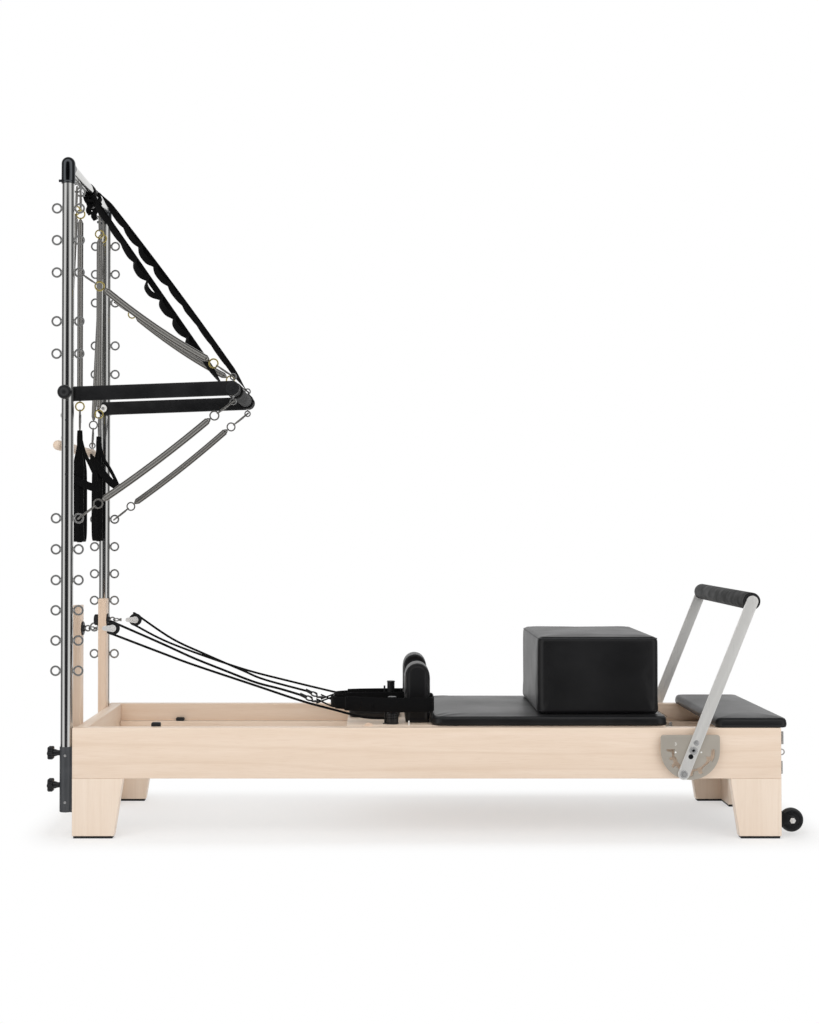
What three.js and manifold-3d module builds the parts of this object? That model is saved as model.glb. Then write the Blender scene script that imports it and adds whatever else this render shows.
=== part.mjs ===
// A Pilates reformer with a tower at its head end. Millimetres, +Z up, +X towards the foot end.
// Stations along X are measured from the head end of the rails, and the near side is -Y.
import * as THREE from 'three';
import { mergeVertices } from 'three/addons/utils/BufferGeometryUtils.js';
import Module from 'manifold-3d';

const wasm = await Module();
wasm.setup();

// Shared clearances and rounding
const FIT = 0.3; // gap between pieces that seat on each other
const CLIP_GAP = 0.7; // play of a clip in the eye that it hangs in
const OVERRUN = 5; // how far a cut runs past the face that it opens
const FACETS = 12;
const RING_FACETS = 7;
const EYE_FACETS = 6;
const SHANK_FACETS = 3;
const PLATE_FACETS = 5;
const WIRE_FACETS = 4;
const COIL_STEPS = 6;
const COIL_SIDES = 3;

// Wooden frame
const frame = {
  length: 2360,
  width: 690,
  railTop: 367,
  railDepth: 168,
  railThickness: 40,
  boardThickness: 38,
  boardInset: 8,
  boardDepth: 150,
  ease: 3,
  footPad: 8,
};
const leg = { topLength: 169, footLength: 139, thickness: 40, panelThickness: 38, panelDepth: 110 };
const ledge = { width: 26, depth: 30, below: 62 };
const platform = { length: 233, thickness: 33, overhang: 22, sideReveal: 2, corner: 22 };
const bumper = { start: 256, length: 31, above: 5 };
const springBar = {
  width: 30, height: 34, fromFoot: 260, below: 70, hooks: 4, hookRadius: 5, hookLength: 16,
};
const wheel = { radius: 40, width: 26, offFloor: 11, axle: 6, reach: 56, inboard: 61, hub: 12, play: 0.8 };
const bracket = { thickness: 5, height: 70, base: 40, axleRise: 20 };
const gear = {
  length: 196, height: 148, thickness: 6, corner: 20, standOff: 18, above: 20, fromFoot: 308,
  slotRadius: 66, slotWidth: 11, slotStart: 180, slotEnd: 360, pockets: [182, 203, 223, 266, 287, 330],
  pocketReach: 77, pocketRadius: 7.5, boss: 15, bolt: 7.5,
};
const footbar = {
  steel: 38, thickness: 8, pivotFromFoot: 300, pivotRise: 297, forward: 198, above: 492,
  grip: 29, gripGap: 1, tail: 84, pin: 14, head: 12, headLength: 4, hole: 8.5, holeBelow: 22,
};

// Tower
const tower = {
  tube: 20.5, inboard: 20, capTop: 2279, capLength: 90, cap: 23, barDrop: 34, foot: 92, wallGap: 3.4,
};
const sleeve = { radius: 22, bottom: 87, top: 303, wall: 2.7, plate: 5, plateWidth: 38 };
const sleeveKnob = {
  radius: 24, thickness: 20, neck: 9, lobes: 6, lobe: 6, low: 175, high: 282, reach: 20,
};
const eye = { ring: 14.7, wire: 3.3, offset: 38, shank: 5 };
const eyeHeights = [555, 656, 757, 858, 961, 1065, 1617, 1726, 1890, 1999, 2106];
const barEyeShares = [-0.585, -0.4, 0.165, 0.635, 0.88]; // of the way from the middle to an upright
const plug = { heights: [1212, 1303, 1393], radius: 5, proud: 2 };

// Riser posts and pulleys
const riser = { x: 30, y: 50, inboard: 120, top: 769, bottom: 222 };
const pulley = {
  height: 690, washer: 24, washerLength: 10, stud: 5, knob: 20, knobLength: 18, eyeRing: 9, eyeWire: 2.6,
  reach: 105, sheave: 23, sheaveWidth: 12, root: 15, rootWidth: 6.8, pin: 4, cheek: 3, cheekWidth: 34,
  play: 0.6,
  swivel: 8, lean: 0.25,
};
const rope = { radius: 4, ringAhead: 100, ringY: 190, ringZ: 436, ringRadius: 14, ringWire: 3, postZ: 386 };
const restLoop = {
  height: 50, bottom: 407, thickness: 9, outside: 37, inner: 104, corner: 40, gap: 8, shoulder: 108,
  ringHalf: 8,
};

// Push-through bar
const push = {
  pivotZ: 1484, reach: 549, rise: 20, armHeight: 50, armThickness: 12, armGap: 0.5, bar: 23,
  eyeInboard: 60, eyeRing: 10, eyeWire: 2.5, eyeOffset: 42, ball: 24, stem: 8, stemLength: 4,
  strapInboard: 120,
};
const strap = { width: 42, thickness: 3, topShares: [0.06, 0.34], bandGap: 0.4 };

// Springs, loops and the roll-down bar
const pushSpring = {
  coil: 9.6, wire: 1.6, curls: 5, clipRing: 12, clipWire: 2, endRing: 13, link: 3, clip: 34, lead: 22,
};
const hangSpring = {
  coil: 8, wire: 1.5, curls: 5, clipRing: 12, clipWire: 2, endRing: 12, link: 2.4, clip: 34, lead: 18,
};
const springSag = { upper: 14, lower: 9 };
const springEyes = { upper: 8, lower: 5 }; // counted up from the lowest, which is 0
const loop = {
  top: 1372, bottom: 983, band: 42, thickness: 12, spread: 56, tab: 60, tabWidth: 20, tabThickness: 6,
};
const rollBar = { radius: 17, z: 1312, short: 19, behind: 40, eyelet: 14 };

// Carriage and what it carries
const carriage = {
  fromFoot: 375, length: 1073, above: 1.4, deckThickness: 24, sideGap: 6,
  padFromFoot: 366, padLength: 797, padThickness: 34, padOver: 3, padCorner: 40, crown: 4,
  wheel: 18, wheelWidth: 16, axle: 5, firstAxle: 98, lastAxle: 105, hanger: 12, block: 40,
  anchorSetBack: 235, anchorLength: 24, anchorWidth: 260, anchorBottom: 290,
};
const rest = { setBack: 200, length: 81, width: 113, height: 210, spacing: 350, lip: 10 };
const cleat = { fromStart: 154, inboard: 55, radius: 13, height: 92, base: 22, baseHeight: 8 };
const headrest = { setBack: 6, length: 176, width: 190, thickness: 36, corner: 26, crown: 5 };
const box = { fromPad: 361, length: 410, width: 522, height: 266, corner: 14, y: -13, crown: 3 };
const carriageSpring = { coil: 10.5, wire: 1.8, curls: 4, y: 62 };

// Colours and finishes
const finish = (color, roughness, metalness) => (
  new THREE.MeshStandardMaterial({ color, roughness, metalness }));
const maple = finish(0xe9d5c2, 0.5, 0);
const steel = finish(0xb9bab8, 0.28, 1);
const darkSteel = finish(0x4b4d4f, 0.35, 0.9);
const black = finish(0x1b1c1d, 0.5, 0);
const vinyl = finish(0x252728, 0.6, 0);
const greyVinyl = finish(0x767676, 0.7, 0);
const webbing = finish(0x141414, 0.85, 0);

// Solids
const V = (x, y, z) => new THREE.Vector3(x, y, z);
const X = V(1, 0, 0);
const Y = V(0, 1, 0);
const Z = V(0, 0, 1);

function toSolid(geometry) {
  const bare = geometry.clone();
  bare.deleteAttribute('normal');
  if (bare.attributes.uv) bare.deleteAttribute('uv');
  const merged = mergeVertices(bare, 1e-4);
  return new wasm.Manifold(new wasm.Mesh({
    numProp: 3,
    vertProperties: new Float32Array(merged.attributes.position.array),
    triVerts: new Uint32Array(merged.index.array),
  }));
}

function fromSolid(solid) {
  const mesh = solid.getMesh();
  const geometry = new THREE.BufferGeometry();
  geometry.setAttribute('position', new THREE.BufferAttribute(new Float32Array(mesh.vertProperties), 3));
  geometry.setIndex(new THREE.BufferAttribute(new Uint32Array(mesh.triVerts), 1));
  geometry.computeVertexNormals();
  return geometry;
}

const join = (...pieces) => fromSolid(pieces.map(toSolid).reduce((all, next) => all.add(next)));
const cut = (base, ...tools) => fromSolid(
  tools.map(toSolid).reduce((left, tool) => left.subtract(tool), toSolid(base)));

function turned(geometry, along) {
  return geometry.applyQuaternion(new THREE.Quaternion().setFromUnitVectors(Y, along.clone().normalize()));
}

function rod(a, b, radius, facets = FACETS, endRadius = radius) {
  const length = a.distanceTo(b);
  const middle = a.clone().add(b).multiplyScalar(1 / 2);
  const geometry = new THREE.CylinderGeometry(endRadius, radius, length, facets);
  return turned(geometry, b.clone().sub(a)).translate(middle.x, middle.y, middle.z);
}

function ring(centre, axis, radius, wire, wireFacets = WIRE_FACETS) {
  const geometry = new THREE.TorusGeometry(radius, wire, wireFacets, EYE_FACETS);
  geometry.applyQuaternion(new THREE.Quaternion().setFromUnitVectors(Z, axis.clone().normalize()));
  return geometry.translate(centre.x, centre.y, centre.z);
}

function ball(centre, radius) {
  return new THREE.SphereGeometry(radius, FACETS, FACETS / 2).translate(centre.x, centre.y, centre.z);
}

// A board with eased edges between two corners
function board(low, high, ease = frame.ease) {
  const size = high.clone().sub(low);
  const shape = new THREE.Shape();
  shape.moveTo(ease, 0);
  shape.lineTo(size.x - ease, 0);
  shape.lineTo(size.x, ease);
  shape.lineTo(size.x, size.y - ease);
  shape.lineTo(size.x - ease, size.y);
  shape.lineTo(ease, size.y);
  shape.lineTo(0, size.y - ease);
  shape.lineTo(0, ease);
  shape.closePath();
  const geometry = new THREE.ExtrudeGeometry(shape, {
    depth: size.z - 2 * ease,
    bevelSize: ease,
    bevelThickness: ease,
    bevelOffset: -ease,
    bevelSegments: 1,
  });
  return geometry.translate(low.x, low.y, low.z + ease);
}

// A slab with round corners in plan and an eased rim
function slab(low, high, corner, ease) {
  const size = high.clone().sub(low);
  const shape = new THREE.Shape();
  shape.moveTo(corner, 0);
  shape.absarc(size.x - corner, corner, corner, -Math.PI / 2, 0);
  shape.absarc(size.x - corner, size.y - corner, corner, 0, Math.PI / 2);
  shape.absarc(corner, size.y - corner, corner, Math.PI / 2, Math.PI);
  shape.absarc(corner, corner, corner, Math.PI, Math.PI * 3 / 2);
  const geometry = new THREE.ExtrudeGeometry(shape, {
    depth: size.z - 2 * ease,
    bevelSize: ease,
    bevelThickness: ease,
    bevelOffset: -ease,
    bevelSegments: 1,
    curveSegments: 3,
  });
  return geometry.translate(low.x, low.y, low.z + ease);
}

// An outline drawn in X and Z and given a thickness along Y
function plate(shape, y, thickness) {
  const settings = { depth: thickness, bevelEnabled: false, curveSegments: PLATE_FACETS };
  const geometry = new THREE.ExtrudeGeometry(shape, settings);
  return geometry.rotateX(Math.PI / 2).translate(0, y + thickness, 0);
}

function eyebolt(base, outward, ringAxis, sizes = eye, offset = sizes.offset) {
  const centre = base.clone().addScaledVector(outward, offset);
  const neck = centre.clone().addScaledVector(outward, -sizes.ring);
  return [ring(centre, ringAxis, sizes.ring, sizes.wire), rod(base, neck, sizes.shank, SHANK_FACETS)];
}

// One unbroken tube through a list of points, with flat ends
function wireThrough(points, radius, sides) {
  const tangents = points.map((point, i) => {
    const after = points[Math.min(i + 1, points.length - 1)];
    return after.clone().sub(points[Math.max(i - 1, 0)]).normalize();
  });
  let across = Math.abs(tangents[0].y) < 0.9 ? Y.clone() : X.clone();
  const vertices = [];
  points.forEach((point, i) => {
    across = across.clone().addScaledVector(tangents[i], -across.dot(tangents[i])).normalize();
    const up = tangents[i].clone().cross(across);
    for (let k = 0; k < sides; k += 1) {
      const angle = k / sides * Math.PI * 2;
      const spoke = across.clone().multiplyScalar(Math.cos(angle)).addScaledVector(up, Math.sin(angle));
      vertices.push(point.clone().addScaledVector(spoke, radius));
    }
  });
  const faces = [];
  for (let i = 0; i + 1 < points.length; i += 1) {
    for (let k = 0; k < sides; k += 1) {
      const a = i * sides + k;
      const b = i * sides + (k + 1) % sides;
      faces.push(a, b, a + sides, b, b + sides, a + sides);
    }
  }
  const last = (points.length - 1) * sides;
  for (let k = 1; k + 1 < sides; k += 1) {
    faces.push(0, k + 1, k, last, last + k, last + k + 1);
  }
  const geometry = new THREE.BufferGeometry().setFromPoints(vertices);
  geometry.setIndex(faces);
  geometry.computeVertexNormals();
  return geometry;
}

// The centreline of a coil spring between two points, with straight ends on its axis
function coilPoints(a, b, radius, wire, curls, sag, straight) {
  const steps = COIL_STEPS;
  const along = b.clone().sub(a);
  const length = along.length();
  along.normalize();
  const side = Math.abs(along.y) < 0.9 ? Y.clone() : X.clone();
  const across = side.addScaledVector(along, -side.dot(along)).normalize();
  const up = along.clone().cross(across);
  const points = [a.clone(), a.clone().addScaledVector(along, straight)];
  const count = curls * steps;
  for (let i = 0; i <= count; i += 1) {
    const t = i / count;
    const out = radius * Math.min(1, i * 2 / steps, (count - i) * 2 / steps);
    const angle = i / steps * Math.PI * 2;
    const place = straight + wire * 2 + t * (length - (straight + wire * 2) * 2);
    const point = a.clone().addScaledVector(along, place);
    point.addScaledVector(across, out * Math.cos(angle)).addScaledVector(up, out * Math.sin(angle));
    point.z -= sag * 4 * t * (1 - t);
    points.push(point);
  }
  points.push(b.clone().addScaledVector(along, -straight), b.clone());
  return points;
}

let leastGap = Infinity;
function coil(a, b, sizes, sag = 0, lead = 2 * sizes.wire) {
  const points = coilPoints(a, b, sizes.coil, sizes.wire, sizes.curls, sag, lead);
  points.forEach((point, i) => {
    points.slice(i + 6).forEach((other) => {
      leastGap = Math.min(leastGap, point.distanceTo(other) - 2 * sizes.wire);
    });
  });
  return wireThrough(points, sizes.wire, COIL_SIDES);
}

// A ring drawn with flat sides comes nearer to its centre between its corners
const ringStep = Math.PI * 2 / EYE_FACETS;
const flatShare = Math.cos(ringStep / 2);
const roundShare = Math.cos(Math.PI / RING_FACETS);
function innerReach(radius, direction) {
  const angle = Math.atan2(direction.z, direction.x) + Math.PI * 2;
  return radius * flatShare / Math.cos(angle % ringStep - ringStep / 2);
}

// How far from an eye's centre the wire of a clip lies when it is pulled against the eye
function seatOf(sizes, eyeSizes, direction) {
  return innerReach(eyeSizes.ring, direction) - eyeSizes.wire - sizes.clipWire / 2 - CLIP_GAP;
}

// A spring between two eyes: a clip hooked in each eye, a ring, and the coil between the rings
function clippedSpring(from, to, fromEye, toEye, sizes, sag = 0) {
  const along = to.clone().sub(from).normalize();
  const ringAxis = along.clone().cross(Y).normalize();
  const pieces = [];
  const ringReach = sizes.endRing * flatShare;
  const starts = [[from, 1, fromEye], [to, -1, toEye]].map(([end, sign, eyeSizes]) => {
    const at = (distance) => end.clone().addScaledVector(along, sign * distance);
    const hook = seatOf(sizes, eyeSizes, along) + sizes.clipRing;
    const tail = hook + sizes.clipRing;
    const second = tail + sizes.clip + ringReach;
    pieces.push(ring(at(hook), ringAxis, sizes.clipRing, sizes.clipWire, SHANK_FACETS));
    pieces.push(rod(at(tail), at(tail + sizes.clip), sizes.link, SHANK_FACETS));
    pieces.push(ring(at(second), Y, sizes.endRing, sizes.clipWire, SHANK_FACETS));
    return at(second + ringReach);
  });
  return join(...pieces, coil(starts[0], starts[1], sizes, sag, sizes.lead));
}

const part = new THREE.Group();
const assembly = new THREE.Group();
part.add(assembly);

function add(name, geometry, material) {
  const mesh = new THREE.Mesh(geometry, material);
  mesh.name = name;
  assembly.add(mesh);
  return mesh;
}

const sides = [['near', -1], ['far', 1]];
const halfWidth = frame.width / 2;
const railBottom = frame.railTop - frame.railDepth;
const carriageEnd = frame.length - carriage.fromFoot;
const carriageStart = carriageEnd - carriage.length;
const deckTop = frame.railTop + carriage.above;
const padStart = frame.length - carriage.padFromFoot - carriage.padLength;
const restStart = carriageStart + rest.setBack;
const anchorX = carriageEnd - carriage.anchorSetBack;
const ringX = carriageStart - rope.ringAhead;
const headFace = frame.boardInset;
const railInner = halfWidth - frame.railThickness;
const boardHalf = railInner - FIT;
const cleatY = railInner - cleat.inboard;
const footFace = frame.length - frame.boardInset;
const ledgeTop = frame.railTop - ledge.below;
const uprightX = -(sleeve.radius + FIT);
const uprightY = halfWidth - tower.inboard;
const riserY = halfWidth - riser.inboard;
const pushEyeY = uprightY - push.eyeInboard;
const pushStrapY = uprightY - push.strapInboard;
const barEyes = barEyeShares.map((share) => share * uprightY);
const barZ = tower.capTop - tower.barDrop;

// Rails with their rubber stops, end boards and tapered legs. The head board carries the two riser posts
function buildFrame() {
  sides.forEach(([side, sign]) => {
    const outer = sign * halfWidth;
    const inner = sign * railInner;
    const rail = board(
      V(0, Math.min(outer, inner), railBottom), V(frame.length, Math.max(outer, inner), frame.railTop));
    add(`${side}_rail`, rail, maple);
    const near = inner - sign * FIT;
    const far = inner - sign * ledge.width;
    add(`${side}_rail_stop`, board(
      V(bumper.start, Math.min(near, far), ledgeTop + FIT),
      V(bumper.start + bumper.length, Math.max(near, far), frame.railTop + bumper.above),
      frame.ease / 2), black);
    [['head', 0, 1], ['foot', frame.length, -1]].forEach(([end, x, inward]) => {
      const shape = new THREE.Shape();
      shape.moveTo(x, railBottom - FIT);
      shape.lineTo(x + inward * leg.topLength, railBottom - FIT);
      shape.lineTo(x + inward * leg.footLength, 0);
      shape.lineTo(x + inward * frame.ease, 0);
      shape.lineTo(x, frame.footPad);
      const face = plate(shape, Math.min(outer, outer - sign * leg.thickness), leg.thickness);
      const panelStart = x + inward * frame.boardInset;
      const panelEnd = panelStart + inward * leg.panelThickness;
      const reach = outer - sign * (leg.thickness + leg.panelDepth);
      const panel = board(
        V(Math.min(panelStart, panelEnd), Math.min(reach, outer - sign * frame.ease), 0),
        V(Math.max(panelStart, panelEnd), Math.max(reach, outer - sign * frame.ease), railBottom - FIT),
        frame.ease);
      add(`${side}_${end}_leg`, join(face, panel), maple);
    });
  });
  const depth = frame.railTop - frame.boardDepth;
  const headBoard = board(
    V(headFace, -boardHalf, depth), V(headFace + frame.boardThickness, boardHalf, frame.railTop));
  add('head_board', join(headBoard, ...sides.map(([, sign]) => riserPost(sign * riserY))), maple);
  add('foot_board', board(
    V(footFace - frame.boardThickness, -boardHalf, depth),
    V(footFace, boardHalf, frame.railTop)), maple);
}

// The ledges that the carriage wheels run on, and between them the bar that the carriage springs hook on
function buildTracks() {
  const inset = frame.boardInset + frame.boardThickness + FIT;
  const ledges = sides.map(([, sign]) => {
    const wall = sign * (railInner - FIT);
    const lip = sign * (railInner - ledge.width);
    return board(
      V(inset, Math.min(lip, wall), ledgeTop - ledge.depth),
      V(frame.length - inset, Math.max(lip, wall), ledgeTop), frame.ease / 2);
  });
  const x = frame.length - springBar.fromFoot;
  const top = frame.railTop - springBar.below;
  const half = railInner - ledge.width + frame.ease;
  const low = V(x - springBar.width / 2, -half, top - springBar.height);
  const bar = board(low, V(x + springBar.width / 2, half, top), frame.ease / 2);
  const hooks = [];
  for (let i = 0; i < springBar.hooks; i += 1) {
    const y = (i - (springBar.hooks - 1) / 2) * 2 * carriageSpring.y;
    const foot = V(x, y, top - frame.ease);
    hooks.push(rod(foot, foot.clone().setZ(top + springBar.hookLength), springBar.hookRadius, WIRE_FACETS));
  }
  add('track_frame', join(...ledges, bar, ...hooks), darkSteel);
}

function buildPlatform() {
  const end = frame.length + platform.overhang;
  const half = halfWidth - platform.sideReveal;
  const bottom = frame.railTop + FIT;
  add('foot_platform', slab(
    V(end - platform.length, -half, bottom),
    V(end, half, bottom + platform.thickness), platform.corner, platform.thickness / 4), greyVinyl);
}

// Transport wheels in forked brackets on the foot end
function buildTransportWheels() {
  const axleX = footFace + wheel.reach + FIT;
  const axleZ = wheel.offFloor + wheel.radius;
  sides.forEach(([side, sign]) => {
    const y = sign * (halfWidth - wheel.inboard);
    const cheekIn = wheel.width / 2 + wheel.play;
    const legTop = railBottom - FIT;
    const plateTop = axleZ + bracket.height;
    const back = board(
      V(footFace + FIT, y - cheekIn - bracket.thickness, axleZ - bracket.axleRise),
      V(footFace + FIT + bracket.thickness, y + cheekIn + bracket.thickness, Math.min(plateTop, legTop)),
      bracket.thickness / 5);
    const cheeks = [-1, 1].map((face) => {
      const shape = new THREE.Shape();
      const start = footFace + FIT + bracket.thickness / 2;
      shape.moveTo(start, axleZ - bracket.axleRise + bracket.thickness);
      shape.lineTo(axleX, axleZ - wheel.hub);
      shape.absarc(axleX, axleZ, wheel.hub, -Math.PI / 2, Math.PI / 2);
      shape.lineTo(start, axleZ + bracket.base);
      const inner = y + face * cheekIn;
      return plate(shape, face > 0 ? inner : inner - bracket.thickness, bracket.thickness);
    });
    const reach = cheekIn + bracket.thickness * 3 / 2;
    const axle = rod(V(axleX, y - reach, axleZ), V(axleX, y + reach, axleZ), wheel.axle, RING_FACETS);
    add(`${side}_wheel_bracket`, join(back, ...cheeks, axle), black);
    const half = wheel.width / 2;
    const bore = wheel.axle + FIT;
    const crown = wheel.radius / 10;
    const profile = [
      [bore, -half], [wheel.hub, -half],
      [wheel.hub + crown, -half + crown], [wheel.radius - crown * 2, -half + crown],
      [wheel.radius, -half + crown * 3 / 2], [wheel.radius, half - crown * 3 / 2],
      [wheel.radius - crown * 2, half - crown], [wheel.hub + crown, half - crown],
      [wheel.hub, half], [bore, half], [bore, -half],
    ].map(([r, h]) => new THREE.Vector2(r, h));
    const tyre = new THREE.LatheGeometry(profile, FACETS).translate(axleX, y, axleZ);
    add(`${side}_transport_wheel`, tyre, black);
  });
}

// Notched quadrant plates, and the footbar that swings on their pivots
function buildFootbar() {
  const pivotX = frame.length - footbar.pivotFromFoot;
  const pivotZ = footbar.pivotRise;
  const top = frame.railTop - gear.above;
  const middleX = frame.length - gear.fromFoot;
  const plateY = halfWidth + gear.standOff;
  const armY = plateY + gear.thickness + FIT * 2;
  const rad = THREE.MathUtils.degToRad;
  sides.forEach(([side, sign]) => {
    const left = middleX - gear.length / 2;
    const right = middleX + gear.length / 2;
    const swing = gear.length / 2;
    const swingZ = top - gear.height + swing;
    const shape = new THREE.Shape();
    shape.absarc(left + gear.corner, top - gear.corner, gear.corner, Math.PI / 2, Math.PI);
    shape.absarc(middleX, swingZ, swing, Math.PI, 2 * Math.PI);
    shape.absarc(right - gear.corner, top - gear.corner, gear.corner, 0, Math.PI / 2);
    const face = sign > 0 ? plateY : -plateY - gear.thickness;
    const sheet = plate(shape, face, gear.thickness);
    const slot = new THREE.Shape();
    const outer = gear.slotRadius + gear.slotWidth / 2;
    const inner = gear.slotRadius - gear.slotWidth / 2;
    slot.absarc(pivotX, pivotZ, outer, rad(gear.slotStart), rad(gear.slotEnd));
    slot.absarc(pivotX, pivotZ, inner, rad(gear.slotEnd), rad(gear.slotStart), true);
    const through = gear.thickness + 2 * OVERRUN;
    const tools = [plate(slot, face - OVERRUN, through)];
    gear.pockets.forEach((turn) => {
      const x = pivotX + gear.pocketReach * Math.cos(rad(turn));
      const z = pivotZ + gear.pocketReach * Math.sin(rad(turn));
      const back = V(x, face - OVERRUN, z);
      tools.push(rod(back, back.clone().setY(face - OVERRUN + through), gear.pocketRadius, EYE_FACETS));
    });
    const post = (x, z, radius, from, to) => (
      rod(V(x, sign * from, z), V(x, sign * to, z), radius, RING_FACETS));
    const wall = halfWidth + FIT;
    const bolts = [left + gear.corner, right - gear.corner].map((x) => (
      post(x, top - gear.corner, gear.bolt, wall, plateY + gear.thickness / 2)));
    const pinEnd = armY + footbar.thickness + FIT;
    const pieces = [
      cut(sheet, ...tools), ...bolts,
      post(pivotX, pivotZ, gear.boss, wall, plateY + gear.thickness / 2),
      post(pivotX, pivotZ, footbar.pin / 2, wall, pinEnd + FIT),
      post(pivotX, pivotZ, footbar.head, pinEnd, pinEnd + footbar.headLength),
    ];
    add(`${side}_gear_plate`, join(...pieces), black);
  });

  const gripX = pivotX + footbar.forward;
  const gripZ = pivotZ + footbar.above;
  const along = V(footbar.forward, 0, footbar.above).normalize();
  const half = footbar.steel / 2;
  const angle = Math.atan2(-along.x, along.z);
  const low = V(pivotX, 0, pivotZ).addScaledVector(along, -footbar.tail);
  const arms = sides.map(([, sign]) => {
    const shape = new THREE.Shape();
    shape.absarc(low.x, low.z, half, angle + Math.PI, angle + 2 * Math.PI);
    shape.absarc(gripX, gripZ, half, angle, angle + Math.PI);
    const bore = (footbar.pin / 2 + FIT) / Math.cos(Math.PI / (2 * PLATE_FACETS));
    [[0, bore], [footbar.holeBelow, footbar.hole]].forEach(([below, radius]) => {
      const hole = new THREE.Path();
      hole.absarc(pivotX - along.x * below, pivotZ - along.z * below, radius, 0, 2 * Math.PI);
      shape.holes.push(hole);
    });
    return plate(shape, sign > 0 ? armY : -armY - footbar.thickness, footbar.thickness);
  });
  const lock = sides.map(([, sign]) => {
    const face = armY + footbar.thickness;
    return rod(
      low.clone().setY(sign * (face - footbar.headLength)),
      low.clone().setY(sign * (face + footbar.headLength)), footbar.pin, RING_FACETS);
  });
  const end = armY + footbar.thickness / 2;
  const tube = rod(V(gripX, -end, gripZ), V(gripX, end, gripZ), half - FIT);
  add('footbar_frame', join(...arms, ...lock, tube), steel);

  const reach = armY - footbar.gripGap;
  const profile = [
    [half, -reach], [footbar.grip - frame.ease, -reach], [footbar.grip, -reach + frame.ease],
    [footbar.grip, reach - frame.ease], [footbar.grip - frame.ease, reach], [half, reach], [half, -reach],
  ].map(([r, h]) => new THREE.Vector2(r, h));
  add('footbar_grip', new THREE.LatheGeometry(profile, FACETS).translate(gripX, 0, gripZ), vinyl);
}

// Uprights with eyebolts, corner caps, crossbar and the sleeves bolted to the frame
function buildTower() {
  const capBottom = tower.capTop - tower.capLength;
  sides.forEach(([side, sign]) => {
    const y = sign * uprightY;
    const tubeTop = capBottom + tower.capLength / 3;
    const pieces = [rod(V(uprightX, y, tower.foot), V(uprightX, y, tubeTop), tower.tube)];
    eyeHeights.forEach((z) => {
      [-1, 1].forEach((face) => {
        const base = V(uprightX + face * (tower.tube - eye.wire), y, z);
        pieces.push(...eyebolt(base, V(face, 0, 0), Y, eye, eye.offset - tower.tube + eye.wire));
      });
    });
    plug.heights.forEach((z) => {
      const outer = tower.tube + plug.proud;
      pieces.push(rod(V(uprightX, y, z), V(uprightX, y + sign * outer, z), plug.radius, WIRE_FACETS));
    });
    add(`${side}_upright`, join(...pieces), steel);

    const dome = tower.cap;
    const bore = tower.tube + FIT;
    const outline = [[0, tubeTop + FIT], [bore, tubeTop + FIT], [bore, capBottom], [dome, capBottom]];
    const steps = 3;
    for (let i = 0; i <= steps; i += 1) {
      const angle = i / steps * Math.PI / 2;
      outline.push([dome * Math.cos(angle), tower.capTop - dome + dome * Math.sin(angle)]);
    }
    const points = outline.map(([r, h]) => new THREE.Vector2(Math.abs(r) < 1e-6 ? 0 : r, h));
    const cap = new THREE.LatheGeometry(points, FACETS).rotateX(Math.PI / 2).translate(uprightX, y, 0);
    const socketEnd = y - sign * (dome + tower.wallGap);
    const socket = rod(V(uprightX, y, barZ), V(uprightX, socketEnd, barZ), tower.tube);
    const screw = rod(
      V(uprightX - dome + FIT, y, capBottom + plug.radius * 2),
      V(uprightX - dome - plug.radius * 2, y, capBottom + plug.radius * 2), plug.radius, WIRE_FACETS);
    add(`${side}_corner_cap`, join(cap, socket, screw), darkSteel);

    const inner = tower.tube + FIT;
    const shell = rod(V(uprightX, y, sleeve.bottom), V(uprightX, y, sleeve.top), sleeve.radius);
    const bore2 = rod(V(uprightX, y, tower.foot - FIT), V(uprightX, y, sleeve.top + OVERRUN), inner);
    const flange = board(
      V(-sleeve.plate - FIT, y - sleeve.plateWidth / 2, sleeve.bottom),
      V(-FIT, y + sleeve.plateWidth / 2, sleeve.top), sleeve.plate / 5);
    const body = cut(join(shell, flange), bore2);
    const knobs = [sleeveKnob.low, sleeveKnob.high].map((z) => clampKnob(y, z));
    add(`${side}_sleeve`, join(body, ...knobs.flat()), darkSteel);
  });
  const start = uprightY - tower.cap - tower.wallGap - FIT;
  const pieces = [rod(V(uprightX, -start, barZ), V(uprightX, start, barZ), tower.tube)];
  barEyes.forEach((y) => {
    const base = V(uprightX, y, barZ - tower.tube + eye.wire);
    pieces.push(...eyebolt(base, V(0, 0, -1), Y, eye, eye.offset - tower.tube + eye.wire));
  });
  add('tower_crossbar', join(...pieces), steel);
}

// A hand knob with round lobes, and its neck
function clampKnob(y, z) {
  const faceX = uprightX - sleeve.radius;
  const outer = faceX - sleeveKnob.reach;
  const shape = new THREE.Shape();
  const points = sleeveKnob.lobes * 3;
  for (let i = 0; i < points; i += 1) {
    const angle = i / points * Math.PI * 2;
    const r = sleeveKnob.radius - sleeveKnob.lobe * (1 - Math.cos(sleeveKnob.lobes * angle)) / 2;
    const at = [r * Math.cos(angle), r * Math.sin(angle)];
    if (i === 0) shape.moveTo(...at);
    else shape.lineTo(...at);
  }
  shape.closePath();
  const head = new THREE.ExtrudeGeometry(shape, { depth: sleeveKnob.thickness, bevelEnabled: false });
  head.rotateY(-Math.PI / 2).translate(outer, y, z);
  const neck = rod(V(faceX + sleeve.wall / 2, y, z), V(outer - FIT, y, z), sleeveKnob.neck, RING_FACETS);
  return [head, neck];
}

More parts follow.
